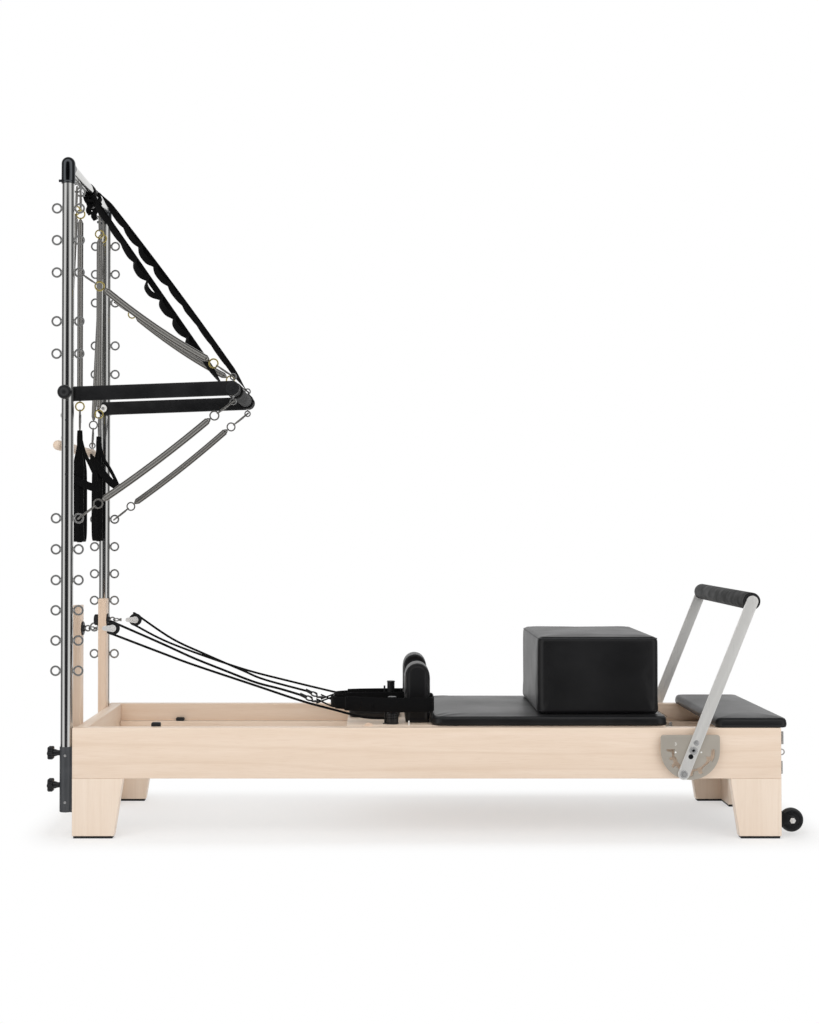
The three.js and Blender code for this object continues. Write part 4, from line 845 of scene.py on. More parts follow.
def build_risers():
    """The two wooden risers on the head board, each with its pulley."""
    posts = []
    for side, sign in SIDES:
        y = sign * RISER_Y
        posts.append(box((BOARD_FACE - 30, y - 25, 222), (BOARD_FACE, y + 25, 769), 3))
        build_pulley(side, y)
    # The risers take the copy of the maple darkened with painted shade
    piece("riser_posts", "base", "riser", posts)


def build_pulley(side, y):
    """The stud and its knob through the riser, a twisted link, and the block that holds the rope's wheel."""
    seat, wheel = at(BOARD_FACE, y, PULLEY_Z), at(SHEAVE_X, y, PULLEY_Z)
    back = seat - mm(30.3, 0, 0)
    knob = [lathe([(0, 18), (17, 17.6), (19.4, 16), (19.8, 13), (18.6, 9), (19.8, 5), (19.2, 1), (12, 0), (0, 0)],
                  back, -X, 40)]
    for a in angles(16):
        rib = back + around(Y, Z, a, 18.8)
        knob.append(rod(rib - mm(2, 0, 0), rib - mm(15, 0, 0), 1.6, 0.8, 10))
    piece(f"{side}_stud_knob", "base", "plastic", knob, [f"{side}_pulley_block"])
    washer = lathe([(6, 0.4), (23, 0.4), (23.6, 1.2), (23.6, 4), (22, 5.6), (13, 6.4), (11, 9.6), (5, 10.2)],
                   seat, X, 48)
    piece(f"{side}_stud_washer", "base", "black_coat", [washer])
    stud = [rod(seat - mm(30, 0, 0), seat + mm(11, 0, 0), 4.8, 0.5, 24),
            ring(seat + mm(19.3, 0, 0), Y, 9, 2.6),
            chain_link(seat + mm(32.3, 0, 0), X, Z, 9, 4.6, 2.1),
            lathe([(0, -7), (4, -7), (4.6, -5), (4.6, 1), (6.2, 3), (6.2, 7), (0, 8)], seat + mm(46.3, 0, 0), X, 28)]
    piece(f"{side}_pulley_link", "base", "eye", stud)
    outline = [(-28, 7.5)] + arc(0, 0, 12.5, 112, -112, 24) + [(-28, -7.5)] + arc(-28, 0, 7.5, 270, 90, 10)[1:-1]
    cheeks = []
    for flank in (-1, 1):
        cheeks.append(sheet_metal([outline], wheel + mm(0, flank * 8.1, 0), X, Z, 2.6, 0.7))
        cheeks.append(rod(wheel + mm(0, flank * 9, 0), wheel + mm(0, flank * 12, 0), 6.5, 1, 6))
    cheeks.append(box((SHEAVE_X - 34, y - 8, PULLEY_Z - 6), (SHEAVE_X - 24, y + 8, PULLEY_Z + 6), 1.5))
    cheeks.append(rod(wheel - mm(0, 9, 0), wheel + mm(0, 9, 0), 3.9, 0.4, 24))
    piece(f"{side}_pulley_cheeks", "base", "cheek", cheeks)
    tread = lathe(mirrored((4.3, -6), (10, -6), (11, -5.2), (19, -5.2), (20, -6), (22.4, -6), (23, -5.4), (22.4, -4.6),
                           (15.4, -2.6)), wheel, Y, 48, closed=True)
    piece(f"{side}_rope_wheel", f"{side}_rope_sheave", "plastic", [tread], [f"{side}_sheave"])


def chain_link(centre, along, across, half_length, half_width, wire):
    """An oval wire link."""
    path = []
    for angle in angles(40):
        stretch = (half_length - half_width) * (1 if math.cos(angle) > 0 else -1)
        path.append(centre + around(along, across, angle, half_width) + along * stretch * MM)
    return sweep(path, circle(wire, 10), closed=True)


# The push-through bar, seen turned up a little about its pivots
PIVOT_Z = 1484
PUSH_REACH = 549
PUSH_TURN = math.asin(20 / PUSH_REACH)
PUSH_ALONG = Vector((math.cos(PUSH_TURN), 0, math.sin(PUSH_TURN)))
PUSH_UP = Vector((-math.sin(PUSH_TURN), 0, math.cos(PUSH_TURN)))
PUSH_END = at(POST_X, 0, PIVOT_Z) + PUSH_ALONG * PUSH_REACH * MM
ARM_INNER = 304
ARM_THICK = 12
PUSH_HALF = 24.7
PUSH_EYE_Y, PUSH_EYE_OFFSET = 265, 42


def build_push_bar():
    """Its two arms, the bar between them with its eyes, and the knobs and nuts at its pivots."""
    body = "push_bar"
    outline = arc(0, 0, PUSH_HALF, 90, 270, 24) + arc(PUSH_REACH, 0, PUSH_HALF, -90, 90, 24)
    pivot = at(POST_X, 0, PIVOT_Z)

    def across(start, stop, radius, edge, steps, centre=pivot):
        """A round part along Y between two places."""
        return rod(centre + mm(0, start, 0), centre + mm(0, stop, 0), radius, edge, steps)

    for side, sign in SIDES:
        outer, inner = sign * ARM_INNER, sign * (ARM_INNER - ARM_THICK)
        arm = sheet_metal([outline], pivot + mm(0, (outer + inner) / 2, 0), PUSH_ALONG, PUSH_UP, ARM_THICK, 2.6)
        piece(f"{side}_push_arm_bar", body, "black_coat",
              [arm, across(inner, inner - sign * 5, 12, 1.2, 32)], [f"{side}_push_arm"])
        piece(f"{side}_push_end_cap", body, "plastic", [
            across(outer - sign * 4, outer + sign * 1.8, 21.5, 1.6, 48, PUSH_END),
            across(outer, outer + sign * 3, 6.5, 1, 24, PUSH_END)])
        piece(f"{side}_pivot_washer", body, "washer", [
            across(inner - sign * 4.6, inner - sign * 7.4, 14.6, 0.9, 36)])
        piece(f"{side}_pivot_nut", body, "bolt", [
            across(inner - sign * 7, inner - sign * 10, 6, 0.8, 6)])
        seat = sign * (POST_Y + TUBE + 0.3)
        middle = seat + sign * 28
        piece(f"{side}_ball_knob", f"{side}_knob", "plastic", [
            across(seat, middle, 8, 0.8, 32), across(seat, seat + sign * 3, 12, 1, 32),
            ball(pivot + mm(0, middle, 0), 24, 44)], [f"{side}_pivot_knob"])
    end = mm(0, ARM_INNER - ARM_THICK - 0.3, 0)
    piece("push_bar_tube", body, "black_bar", [rod(PUSH_END - end, PUSH_END + end, 23, 1.2, 56)],
          ["push_crossbar"])
    eyes = []
    for sign in (-1, 1):
        for face in (-1, 1):
            base = PUSH_END + mm(0, sign * PUSH_EYE_Y, face * 22.4)
            eyes += eyebolt(base, Z * face, Y, SMALL_EYE, PUSH_EYE_OFFSET - 22.4)
    piece("push_bar_eyes", body, "eye", eyes)


# Springs: a snap hook in each eye, a ring, and a close-wound body
def snap_hook(eye_centre, along, reach, side):
    """A pear-shaped snap hook of this reach that hangs in an eye."""
    path = []
    for angle in angles(44):
        place = reach / 2 * (1 - math.cos(angle))
        wide = (8 - 2.8 * place / reach) * math.sin(angle)
        path.append(eye_centre + (along * (place - 4.5) + side * wide) * MM)
    gate = [eye_centre + (along * (reach * share) + side * out) * MM for share, out in ((0.3, 7), (0.72, 5.6))]
    return [sweep(path, circle(2.8, 10), closed=True), rod(*gate, 3.6, 0.8, 14)]


def build_spring(name, body, stands_for, start, end, coil_radius, wire, sag, brass, hook):
    """One spring with its fittings. start and end are the two eyes' centres, brass says which rings are of brass."""
    along = (end - start).normalized()
    side = Y if abs(along.y) < 0.7 else X
    across = (side - along * side.dot(along)).normalized()
    parts, rings, ends = [], [], []
    for eye_centre, direction, of_brass in ((start, along, brass[0]), (end, -along, brass[1])):
        parts += snap_hook(eye_centre, direction, hook, across)
        centre = eye_centre + direction * (hook + 8) * MM
        (rings if of_brass else parts).append(ring(centre, across, 14.8, 2.6, 36, 10))
        place = centre + direction * 13 * MM
        parts.append(sweep([place + direction * step * MM for step in (-1, 4, 9)], circle(wire, 8)))
        core = coil_radius * 0.74
        parts.append(lathe([(2, 5), (4.4, 6), (core, 13), (core, 18)], place, direction, 28))
        ends.append(place + direction * 15 * MM)
    coil = close_wound(*ends, coil_radius, wire, sag)
    piece(name, body, "spring", [coil, *parts], stands_for, sharp=0)
    if rings:
        piece(name + "_ring", body, "brass", rings)


def build_springs():
    eye_x, top_z = POST_X + EYE["offset"], BAR_Z - EYE["offset"]
    for side, sign in SIDES:
        for place, height, face, sag in (("upper", 1890, 1, 12), ("lower", 1065, -1, 7)):
            start = at(eye_x, sign * POST_Y, height)
            end = PUSH_END + mm(0, sign * PUSH_EYE_Y, face * PUSH_EYE_OFFSET)
            build_spring(f"{side}_{place}_push_spring", ("base", "push_bar", start, end), [f"{side}_{place}_spring"],
                         start, end, 12, 1.6, sag, (place == "upper",) * 2, 72)
    for side, y in (("near", BAR_EYES[1]), ("far", BAR_EYES[3])):
        build_spring(f"{side}_hanging_spring", f"{side}_hanging_loop", [f"{side}_loop_spring"],
                     at(POST_X, y, top_z), at(POST_X, y, 1378), 10.4, 1.5, 0, (True, True), 70)
    for side, y in (("near", BAR_EYES[0]), ("far", BAR_EYES[4])):
        start, end = at(POST_X, y, top_z), at(ROLL_BAR[0], y, ROLL_BAR[2] + 31)
        build_spring(f"{side}_roll_spring", ("base", "roll_bar", start, end), [f"{side}_bar_spring"],
                     start, end, 8.6, 1.4, 0, (True, False), 70)


def build_roll_bar():
    """The dowel that hangs on two springs."""
    bar = lathe(eased(ROLL_BAR_HALF, 0, ROLL_BAR_RADIUS, (0,)), at(*ROLL_BAR), Y, 48)
    piece("dowel", "roll_bar", "wood_y", [bar], ["roll_down_bar"])
    eyes = []
    for y in (BAR_EYES[0], BAR_EYES[4]):
        eyes += eyebolt(at(ROLL_BAR[0], y, ROLL_BAR[2] + 16.4), Z, Y, SMALL_EYE, 31 - 16.4)
    piece("dowel_eyes", "roll_bar", "eye", eyes)


# Footbar, gear plates, platform and transport wheels
PIVOT = at(2060, 0, 297)
GRIP = at(2258, 0, 789)
BAR_ALONG = (GRIP - PIVOT).normalized()
BAR_ACROSS = Vector((BAR_ALONG.z, 0, -BAR_ALONG.x))
ARM_Y, ARM_STEEL, TAIL, HOLE_BELOW = 369.6, 8, 84, 22
GRIP_HALF, GRIP_RADIUS = 368.6, 29
ARM_HALF = 19
# The slot that the lock pin follows, from the pivot in millimetres: first its outer edge, then its inner one
SLOT = [
    (-87, -1), (-87, 3), (-61, 3), (-61, -20), (-55, -24), (-50, -38), (-38, -53), (-22, -62), (-4, -65), (12, -61),
    (28, -54), (41, -42), (46, -35), (44, -21), (59, -21), (62, 0), (66, 4), (71, 3), (74, -3), (72, -25), (64, -39),
    (59, -34), (50, -46), (36, -56), (30, -65), (33, -75), (27, -80), (20, -77), (16, -68), (2, -71), (1, -83),
    (-5, -87), (-10, -83), (-11, -73), (-28, -70), (-45, -62), (-58, -52), (-66, -60), (-71, -50), (-63, -39),
    (-66, -34), (-77, -32), (-76, -22), (-68, -24), (-70, -6), (-79, -5),
]


def label(text, place, size, u, v, depth=0.4):
    """Figures in relief, as one thin mesh."""
    curve = bpy.data.curves.new("figure", "FONT")
    curve.body = text
    curve.size = size * MM
    curve.extrude = depth / 2 * MM
    curve.align_x, curve.align_y = "CENTER", "CENTER"
    return mesh_of(curve, place, u, v)


def build_gear_plates():
    """On each side the plate with its slot, the spacers behind it, the pivot's bolt and the position marks."""
    left, right, top, corner = -106, 90, 50, 9
    outline = arc(right - corner, top - corner, corner, 0, 90, 8)
    outline += arc(left + corner, top - corner, corner, 90, 180, 8) + arc(-8, 0, 98, 180, 360, 48)
    for side, sign in SIDES:
        wall, plate, outside = sign * 345.3, sign * 366, sign * 369
        parts = [sheet_metal([outline, list(reversed(SLOT))], PIVOT + mm(0, plate, 0), X, Z, 6, 0.7)]
        for x in (-86, 70):
            parts.append(rod(PIVOT + mm(x, wall, 30), PIVOT + mm(x, sign * 363.4, 30), 7.5, 0.6, 24))
        parts.append(rod(PIVOT + mm(0, wall, 0), PIVOT + mm(0, sign * 364, 0), 15, 0.8, 32))
        piece(f"{side}_gear_plate_steel", "base", "plate", parts, [f"{side}_gear_plate"])
        bolt = [rod(PIVOT + mm(0, plate, 0), PIVOT + mm(0, sign * 378.4, 0), 7, 0.6, 28),
                lathe([(0, 378.4), (4.2, 378.4), (5, 381.2), (9.5, 381.4), (12.4, 380.2), (13.6, 378.2), (0, 378.1)],
                      PIVOT, Y * sign, 40)]
        piece(f"{side}_pivot_bolt", "base", "bolt", bolt)
        marks = []
        for x, text in ((-57, "3"), (28, "1")):
            marks.append(label(text, PIVOT + mm(x, outside, 20), 14, X * -sign, Z))
            dot = PIVOT + mm(x, outside, -7)
            marks.append(rod(dot - mm(0, sign * 0.2, 0), dot + mm(0, sign * 0.25, 0), 3, 0.1, 20))
        piece(f"{side}_position_marks", "base", "print", marks, sharp=20)


def build_footbar():
    """The two flat arms with their bolts and lined holes, and the padded grip across them."""
    arms, details, darks, caps = [], [], [], []
    length = (GRIP - PIVOT).length / MM
    outline = arc(0, -TAIL, ARM_HALF, 180, 360, 20) + arc(0, length, ARM_HALF, 0, 180, 20)
    hole = [(8.5 * math.cos(a), -HOLE_BELOW + 8.5 * math.sin(a)) for a in angles(32)]
    for sign in (-1, 1):
        out = Y * sign
        arms.append(sheet_metal([outline, list(reversed(hole))], PIVOT + mm(0, sign * (ARM_Y + ARM_STEEL / 2), 0),
                                BAR_ACROSS, BAR_ALONG, ARM_STEEL, 1.2))
        face = mm(0, sign * (ARM_Y + ARM_STEEL), 0)
        end = PIVOT - BAR_ALONG * TAIL * MM + face
        details.append(lathe([(0, -0.4), (13, -0.4), (13, 1.6), (11.6, 2.6), (8.8, 2.8), (8.2, 1.6), (0, 1.4)],
                             end, out, 40))
        details.append(lathe([(0, 1.4), (4.4, 1.4), (4.4, 3.2), (3.2, 3.8), (0, 3.8)], end, out, 24))
        details.append(lathe([(0, -0.3), (9.4, -0.3), (9.4, 0.2), (9, 0.4), (0, 0.4)],
                             PIVOT + BAR_ALONG * 27 * MM + face, out, 36))
        darks.append(lathe([(0, 0), (8.4, 0), (8.4, 5.6), (7.4, 6.4), (6.8, 5.6), (6.8, 1.2), (0, 1)],
                           PIVOT - BAR_ALONG * HOLE_BELOW * MM + mm(0, sign * (ARM_Y + 0.6), 0), out, 32))
        caps.append(lathe([(17, -1), (25.4, -1), (25.4, 0.3), (24.6, 0.8), (17, 0.8)],
                          GRIP + mm(0, sign * GRIP_HALF, 0), out, 56))
    piece("footbar_arms", "footbar", "arm", arms, ["footbar_frame"])
    piece("footbar_end_bolts", "footbar", "bolt", details)
    piece("footbar_hole_liners", "footbar", "plastic", darks)
    tube = rod(GRIP - mm(0, ARM_Y + 1, 0), GRIP + mm(0, ARM_Y + 1, 0), 16, 0.6, 40)
    piece("footbar_tube", "footbar", "arm", [tube])
    roll = eased(GRIP_HALF, GRIP_RADIUS - 5, 5, (18, GRIP_RADIUS - 5))
    piece("footbar_foam", "footbar", "foam", [lathe(roll, GRIP, Y, 64)], ["footbar_grip"])
    piece("footbar_foam_caps", "footbar", "plastic", caps)


def rounded_plan(half_x, half_y, corner, inset, steps=10, per_side=14):
    """Points round a rectangle with round corners, drawn in by inset, the same number every time."""
    r = max(corner - inset, 0.4)
    hx, hy = half_x - inset - r, half_y - inset - r
    signs = ((1, 1), (-1, 1), (-1, -1), (1, -1))
    points = []
    for k, (sx, sy) in enumerate(signs):
        points += arc(sx * hx, sy * hy, r, 90 * k, 90 * k + 90, steps)
        a, (nx, ny) = points[-1], signs[(k + 1) % 4]
        b = arc(nx * hx, ny * hy, r, 90 * k + 90, 90 * k + 90, 1)[0]
        for i in range(1, per_side):
            t = i / per_side
            points.append((a[0] + (b[0] - a[0]) * t, a[1] + (b[1] - a[1]) * t))
    return points


def slab(low, high, corner, edge, crown, swell, under):
    """An upholstered block: an eased rim of radius edge above and under below, a crowned top, sides that swell."""
    size = (high - low) / MM
    middle = (low + high) / 2
    base, top = low.z / MM, high.z / MM - crown
    levels = []
    for k in range(6):
        turn = math.pi / 2 * k / 5
        levels.append((under * (1 - math.sin(turn)), base + under * (1 - math.cos(turn))))
    for k in range(1, 6):
        share = k / 6
        levels.append((-swell * 4 * share * (1 - share), base + under + (top - edge - base - under) * share))
    for k in range(6):
        turn = math.pi / 2 * k / 5
        levels.append((edge * (1 - math.cos(turn)), top - edge + edge * math.sin(turn)))
    reach = min(size.x, size.y) / 2
    for share in (0.06, 0.14, 0.26, 0.42, 0.6, 0.78, 0.93):
        levels.append((edge + (reach - edge) * share, top + crown * (1 - (1 - share) ** 2)))
    points, rows = [], []
    for inset, z in levels:
        plan = rounded_plan(size.x / 2, size.y / 2, corner, inset)
        rows.append(range(len(points), len(points) + len(plan)))
        points += [Vector((middle.x + x * MM, middle.y + y * MM, z * MM)) for x, y in plan]
    return points, skin(rows)


def welt(low, high, corner, inset, z, radius=1.4):
    """A thin piped seam round a block at one height."""
    size = (high - low) / MM
    middle = (low + high) / 2
    path = [Vector((middle.x + x * MM, middle.y + y * MM, z * MM))
            for x, y in rounded_plan(size.x / 2, size.y / 2, corner, inset)]
    return sweep(path, circle(radius, 8), closed=True)


def build_platform():
    low, high = at(2146, -343, 367.3), at(2383, 343, 407.5)
    pad = piece("platform_pad", "base", "top_vinyl", [slab(low, high, 24, 15, 8, 1, 5)], ["foot_platform"], 0)
    piece("platform_seam", "base", "seam", [welt(low, high, 24, 2, 389, 0.9)], sharp=0)


CASTOR = (2408.3, 284, 51)  # the far transport wheel's centre


def build_transport_wheels():
    for side, sign in SIDES:
        y = sign * CASTOR[1]
        centre = at(CASTOR[0], y, CASTOR[2])
        bracket = [box((2352.3, y - 19, 31), (2357.3, y + 19, 121), 1)]
        bolts = [rod(centre - mm(0, 20.4, 0), centre + mm(0, 20.4, 0), 5.7, 0.6, 24)]
        outline = [(-53, -15)] + arc(0, 0, 12, -90, 90, 14) + [(-53, 40)]
        for flank in (-1, 1):
            bracket.append(sheet_metal([outline], centre + mm(0, flank * 16.3, 0), X, Z, 5, 0.7))
            bolts.append(rod(centre + mm(0, flank * 18.9, 0), centre + mm(0, flank * 21.2, 0), 10.4, 1, 6))
            bolts.append(rod(centre + mm(0, flank * 20, 0), centre + mm(0, flank * 22.4, 0), 6.2, 1, 24))
        piece(f"{side}_wheel_bracket_steel", "base", "black_coat", bracket, [f"{side}_wheel_bracket"])
        piece(f"{side}_wheel_bolt", "base", "cheek", bolts)
        tyre = lathe(mirrored((6.1, -11), (12, -11), (13, -10.4), (15, -9), (26, -9), (28, -11.4), (34, -11.4),
                              (38, -9), (40, -5)), centre, Y, 72, closed=True)
        piece(f"{side}_castor_tyre", f"{side}_castor", "plastic", [tyre], [f"{side}_transport_wheel"], 28)


HOOK_PLACES = (-186, -62, 62, 186)


def build_tracks():
    """The ledges and runners inside the rails, and the bar with hooks that the carriage's spring pulls on."""
    ledges, hooks = [], []
    steel = [box((2085, -284, 263), (2115, 284, 297), 2)]
    for sign in (-1, 1):
        ledges.append(box((47, sign * 304.7, 275), (RAIL_LENGTH - 47, sign * 278.7, 305), 1.5))
        steel.append(box((60, sign * 287 - 5, 304.6), (RAIL_LENGTH - 60, sign * 287 + 5, 305.2), 0.2))
    piece("track_ledges", "base", "wood_x", ledges)
    piece("spring_bar_and_runners", "base", "plate", steel, ["track_frame"])
    for y in HOOK_PLACES:
        hooks += [rod(at(2100, y, 296), at(2100, y, 313), 5, 2, 20), ball(at(2100, y, 309), 6.5, 20)]
    piece("spring_bar_hooks", "base", "bolt", hooks)


# Carriage, what stands on it, and the cushions
DECK_START, DECK_END, DECK_TOP = 912, 1985, 368.4
AXLES = (1010, 1880)
AXLE_Z = 323.3
CLOTH_PRESSURE = 4
CLOTH_FRAMES = 20
HELD_HEIGHT = 6 * MM  # a cushion's cloth stays put this far up
ROPE_POST = (1066, 250)
CUSHIONS = (  # name, body, slot, look, corners, (plan corner, rim, crown, swell, lower rim), node, seams, fill, cloth
    ("carriage_mat", "carriage", "grey_vinyl", "top_vinyl", (1197, -308, 368.7), (1994, 308, 403.2),
     (40, 8, 2.5, 0.5, 4), "carriage_pad", [(0.5, 395.6, 0.8)], 0.95, (7, 3)),
    ("head_rest_cushion", "head_cushion", "vinyl", "vinyl", (918, -95, 368.7), (1094, 95, 404.7),
     (26, 9, 4, 1, 4), "headrest", [(0.6, 396, 0.9)], 0.8, (4, 5)),
    ("box_cover", "box", "vinyl", "vinyl", (1558, -274, 403), (1968, 248, 669),
     (24, 15, 4, 0.8, 13), "sitting_box", [(2.8, 657.5, 1.1), (2.8, 414, 1.1)], 0.9, (7, 1.6)),
)


def corners_of(mesh):
    """A mesh's coordinates, one after another."""
    flat = np.empty(len(mesh.vertices) * 3)
    mesh.vertices.foreach_get("co", flat)
    return flat


def settled(made, size, limit):
    """Blows a cushion up a little as cloth, held at its underside, so that its cover lies as a filled one does.
    It is cut into cells of size first, and nothing moves further than limit, both in millimetres."""
    rest_low = min(v.co.z for v in made.data.vertices)
    remesh = made.modifiers.new("even", "REMESH")
    remesh.mode = "VOXEL"
    remesh.voxel_size = size * MM
    remesh.use_smooth_shade = True
    apply_modifiers(made)
    before = corners_of(made.data)
    held = made.vertex_groups.new(name="held")
    held.add([v.index for v in made.data.vertices if v.co.z < rest_low + HELD_HEIGHT], 1.0, "REPLACE")
    cloth = made.modifiers.new("cloth", "CLOTH")
    settings = cloth.settings
    settings.vertex_group_mass = "held"
    settings.use_pressure = True
    settings.uniform_pressure_force = CLOTH_PRESSURE
    settings.effector_weights.gravity = 0
    settings.quality = 6
    settings.tension_stiffness = 30
    settings.compression_stiffness = 30
    settings.bending_stiffness = 4
    cloth.point_cache.frame_start, cloth.point_cache.frame_end = 1, CLOTH_FRAMES
    scene = bpy.context.scene
    for step in range(1, CLOTH_FRAMES + 1):
        scene.frame_set(step)
    apply_modifiers(made)
    scene.frame_set(1)
    moved = (corners_of(made.data) - before).reshape(-1, 3)
    far = np.linalg.norm(moved, axis=1, keepdims=True)
    moved *= np.minimum(1, limit * MM / np.maximum(far, 1e-9))
    made.data.vertices.foreach_set("co", (before + moved.ravel()).astype(np.float32))
    made.data.update()


def apply_modifiers(made):
    """Replaces an object's mesh by what its modifiers make of it."""
    graph = bpy.context.evaluated_depsgraph_get()
    new = bpy.data.meshes.new_from_object(made.evaluated_get(graph))
    old = made.data
    made.modifiers.clear()
    made.data = new
    bpy.data.meshes.remove(old)


def build_carriage():
    """The deck, the rope posts on it, the wheels below it and the spring that pulls it back."""
    body = "carriage"
    parts = [box((DECK_START, -299, DECK_TOP - 24), (DECK_END, 299, DECK_TOP), 2.5),
             box((1726, -130, 290), (1750, 130, 346), 2)]
    parts += [box((x - 20, sign * 277.3 - 6, AXLE_Z - 10), (x + 20, sign * 277.3 + 6, 346), 1.5)
              for x in AXLES for sign in (-1, 1)]
    piece("deck_wood", body, "wood_x", parts, ["carriage_deck"])
    posts, ribs, tabs, blocks = [], [], [], []
    for sign in (-1, 1):
        foot = at(ROPE_POST[0], sign * ROPE_POST[1], DECK_TOP)
        posts.append(lathe([(0, 0), (22, 0), (22, 5), (20.4, 6.4), (20.4, 36), (19, 38), (15, 38.6), (14, 40),
                            (14, 86), (15, 87), (15, 91), (13.6, 92), (0, 92)], foot, Z, 48))
        for a in angles(16):
            out = foot + around(X, Y, a, 20.2)
            ribs.append(rod(out + mm(0, 0, 9), out + mm(0, 0, 34), 1.2, 0.6, 8))
        pin = foot - mm(24, 0, 0)
        posts.append(rod(pin, pin + mm(0, 0, 74), 3.4, 1, 16))
        posts.append(lathe([(0, 0), (8, 0), (8, 2), (4, 3.4), (0, 3.4)], pin, Z, 24))
        # A small steel tab on the deck's edge, and the round end of a wooden block before it
        tabs.append(box((1120, sign * 292 - 1.5, 362), (1124, sign * 292 + 1.5, 384), 0.6))
        blocks.append(rod(at(987, sign * 296, 360), at(987, sign * 284, 360), 17.5, 1.5, 40))
    piece("rope_posts", body, "plastic", posts + ribs)
    piece("deck_edge_tabs", body, "washer", tabs)
    # The end blocks take the risers' copy of the maple, darkened with painted shade
    piece("deck_end_blocks", body, "riser", blocks)
    for end, x in (("head", AXLES[0]), ("foot", AXLES[1])):
        wheels = [rod(at(x, -284, AXLE_Z), at(x, 284, AXLE_Z), 4.8, 0.4, 24)]
        wheels += [lathe(mirrored((4.8, -7.6), (9, -7.6), (10, -6), (13, -6), (14, -7.6), (17, -7.6), (18, -6.4)),
                         at(x, sign * 292, AXLE_Z), Y, 40) for sign in (-1, 1)]
        piece(f"{end}_wheels_rollers", f"{end}_wheels", "plastic", wheels, [f"{end}_wheelset"])
    start, end = at(1750.3, 62, 305), at(2094.7, 62, 305)
    spring = [helix(start + mm(12, 0, 0), end - mm(12, 0, 0), 10.5, 1.7, 4.2),
              rod(start, start + mm(14, 0, 0), 2, 0.4, 12), rod(end - mm(14, 0, 0), end, 2, 0.4, 12)]
    piece("carriage_pull_spring", ("carriage", "base", start, end), "spring", spring,
          ["carriage_spring"], 0)


def build_cushions():
    for name, body, slot, cover, low, high, shape, node, seams, fill, cloth in CUSHIONS:
        low, high = at(*low), at(*high)
        made = piece(name, body, cover, [slab(low, high, *shape)], [node], 0)
        settled(made, *cloth)
        piece(f"{name}_seam", body, "seam", [welt(low, high, shape[0], *seam) for seam in seams], sharp=0)
    for side, sign in SIDES:
        build_shoulder_rest(side, sign)


REST_X, REST_Y, REST_HALF_X, REST_HALF_Y = 1152.5, 175, 41, 56.5
REST_FOOT, REST_CENTRE = 368.9, 368.7 + 203 - REST_HALF_X  # where it stands, and its round top's middle


def rest_outline(inset):
    """A flat-footed outline with a round top, in X and Z."""
    r = REST_HALF_X - inset
    foot, centre = REST_FOOT + inset, REST_CENTRE
    points = [(-r, foot)] + [(-r + 2 * r * k / 6, foot) for k in range(1, 6)] + [(r, foot)]
    points += [(r, foot + (centre - foot) * k / 10) for k in range(1, 10)] + arc(0, centre, r, 0, 180, 28)
    return points + [(-r, foot + (centre - foot) * k / 10) for k in range(9, 0, -1)]


def build_shoulder_rest(side, sign):
    """A tall padded block: its sides swell, its two faces are set in behind a rolled rim."""
    y, half = sign * REST_Y, REST_HALF_Y
    levels = [(inset, -depth) for inset, depth in (
        (24, half - 5.4), (14, half - 5), (10.5, half - 4), (9, half - 1.4), (7.2, half), (4, half - 0.6),
        (1.6, half - 3.2), (0.3, half - 7.5), (0, half * 0.7), (0, half * 0.35))]
    levels += [(0, 0)] + [(inset, -depth) for inset, depth in reversed(levels)]
    points, rows = [], []
    for inset, depth in levels:
        outline = rest_outline(inset)
        rows.append(range(len(points), len(points) + len(outline)))
        points += [at(REST_X + x, y + depth, z) for x, z in outline]
    made = piece(f"{side}_rest_cushion", f"{side}_rest", "vinyl", [(points, skin(rows))],
                 [f"{side}_shoulder_rest"], 0)
    settled(made, 4, 2.5)
    seams = [sweep([at(REST_X + x, y + face * (half - 2.8), z) for x, z in rest_outline(9.6)], circle(0.8, 8),
                   closed=True) for face in (-1, 1)]
    piece(f"{side}_rest_seam", f"{side}_rest", "seam", seams, sharp=0)


# Webbing: the safety straps, the foot loops and the padded loops round the shoulder rests
STRAP_PITCH, LOOP_STEPS = 89, 14  # from one seam of a daisy chain to the next, and the places between two seams
STRAP_TURN = math.radians(38)
STRAPS = (  # side, where it hangs from and runs to, how far off each axis, bow, its loops' depth, middle and reach
    ("near", 19.5, -205, -4, -24.5, 0, 17, 0.56, 0.32), ("far", 110.5, 205, 25, 24, 8, 11, 0.34, 0.26))


def eased_share(share):
    """Takes 0 to 1 slowly away from both ends."""
    return (3 - 2 * share) * share * share


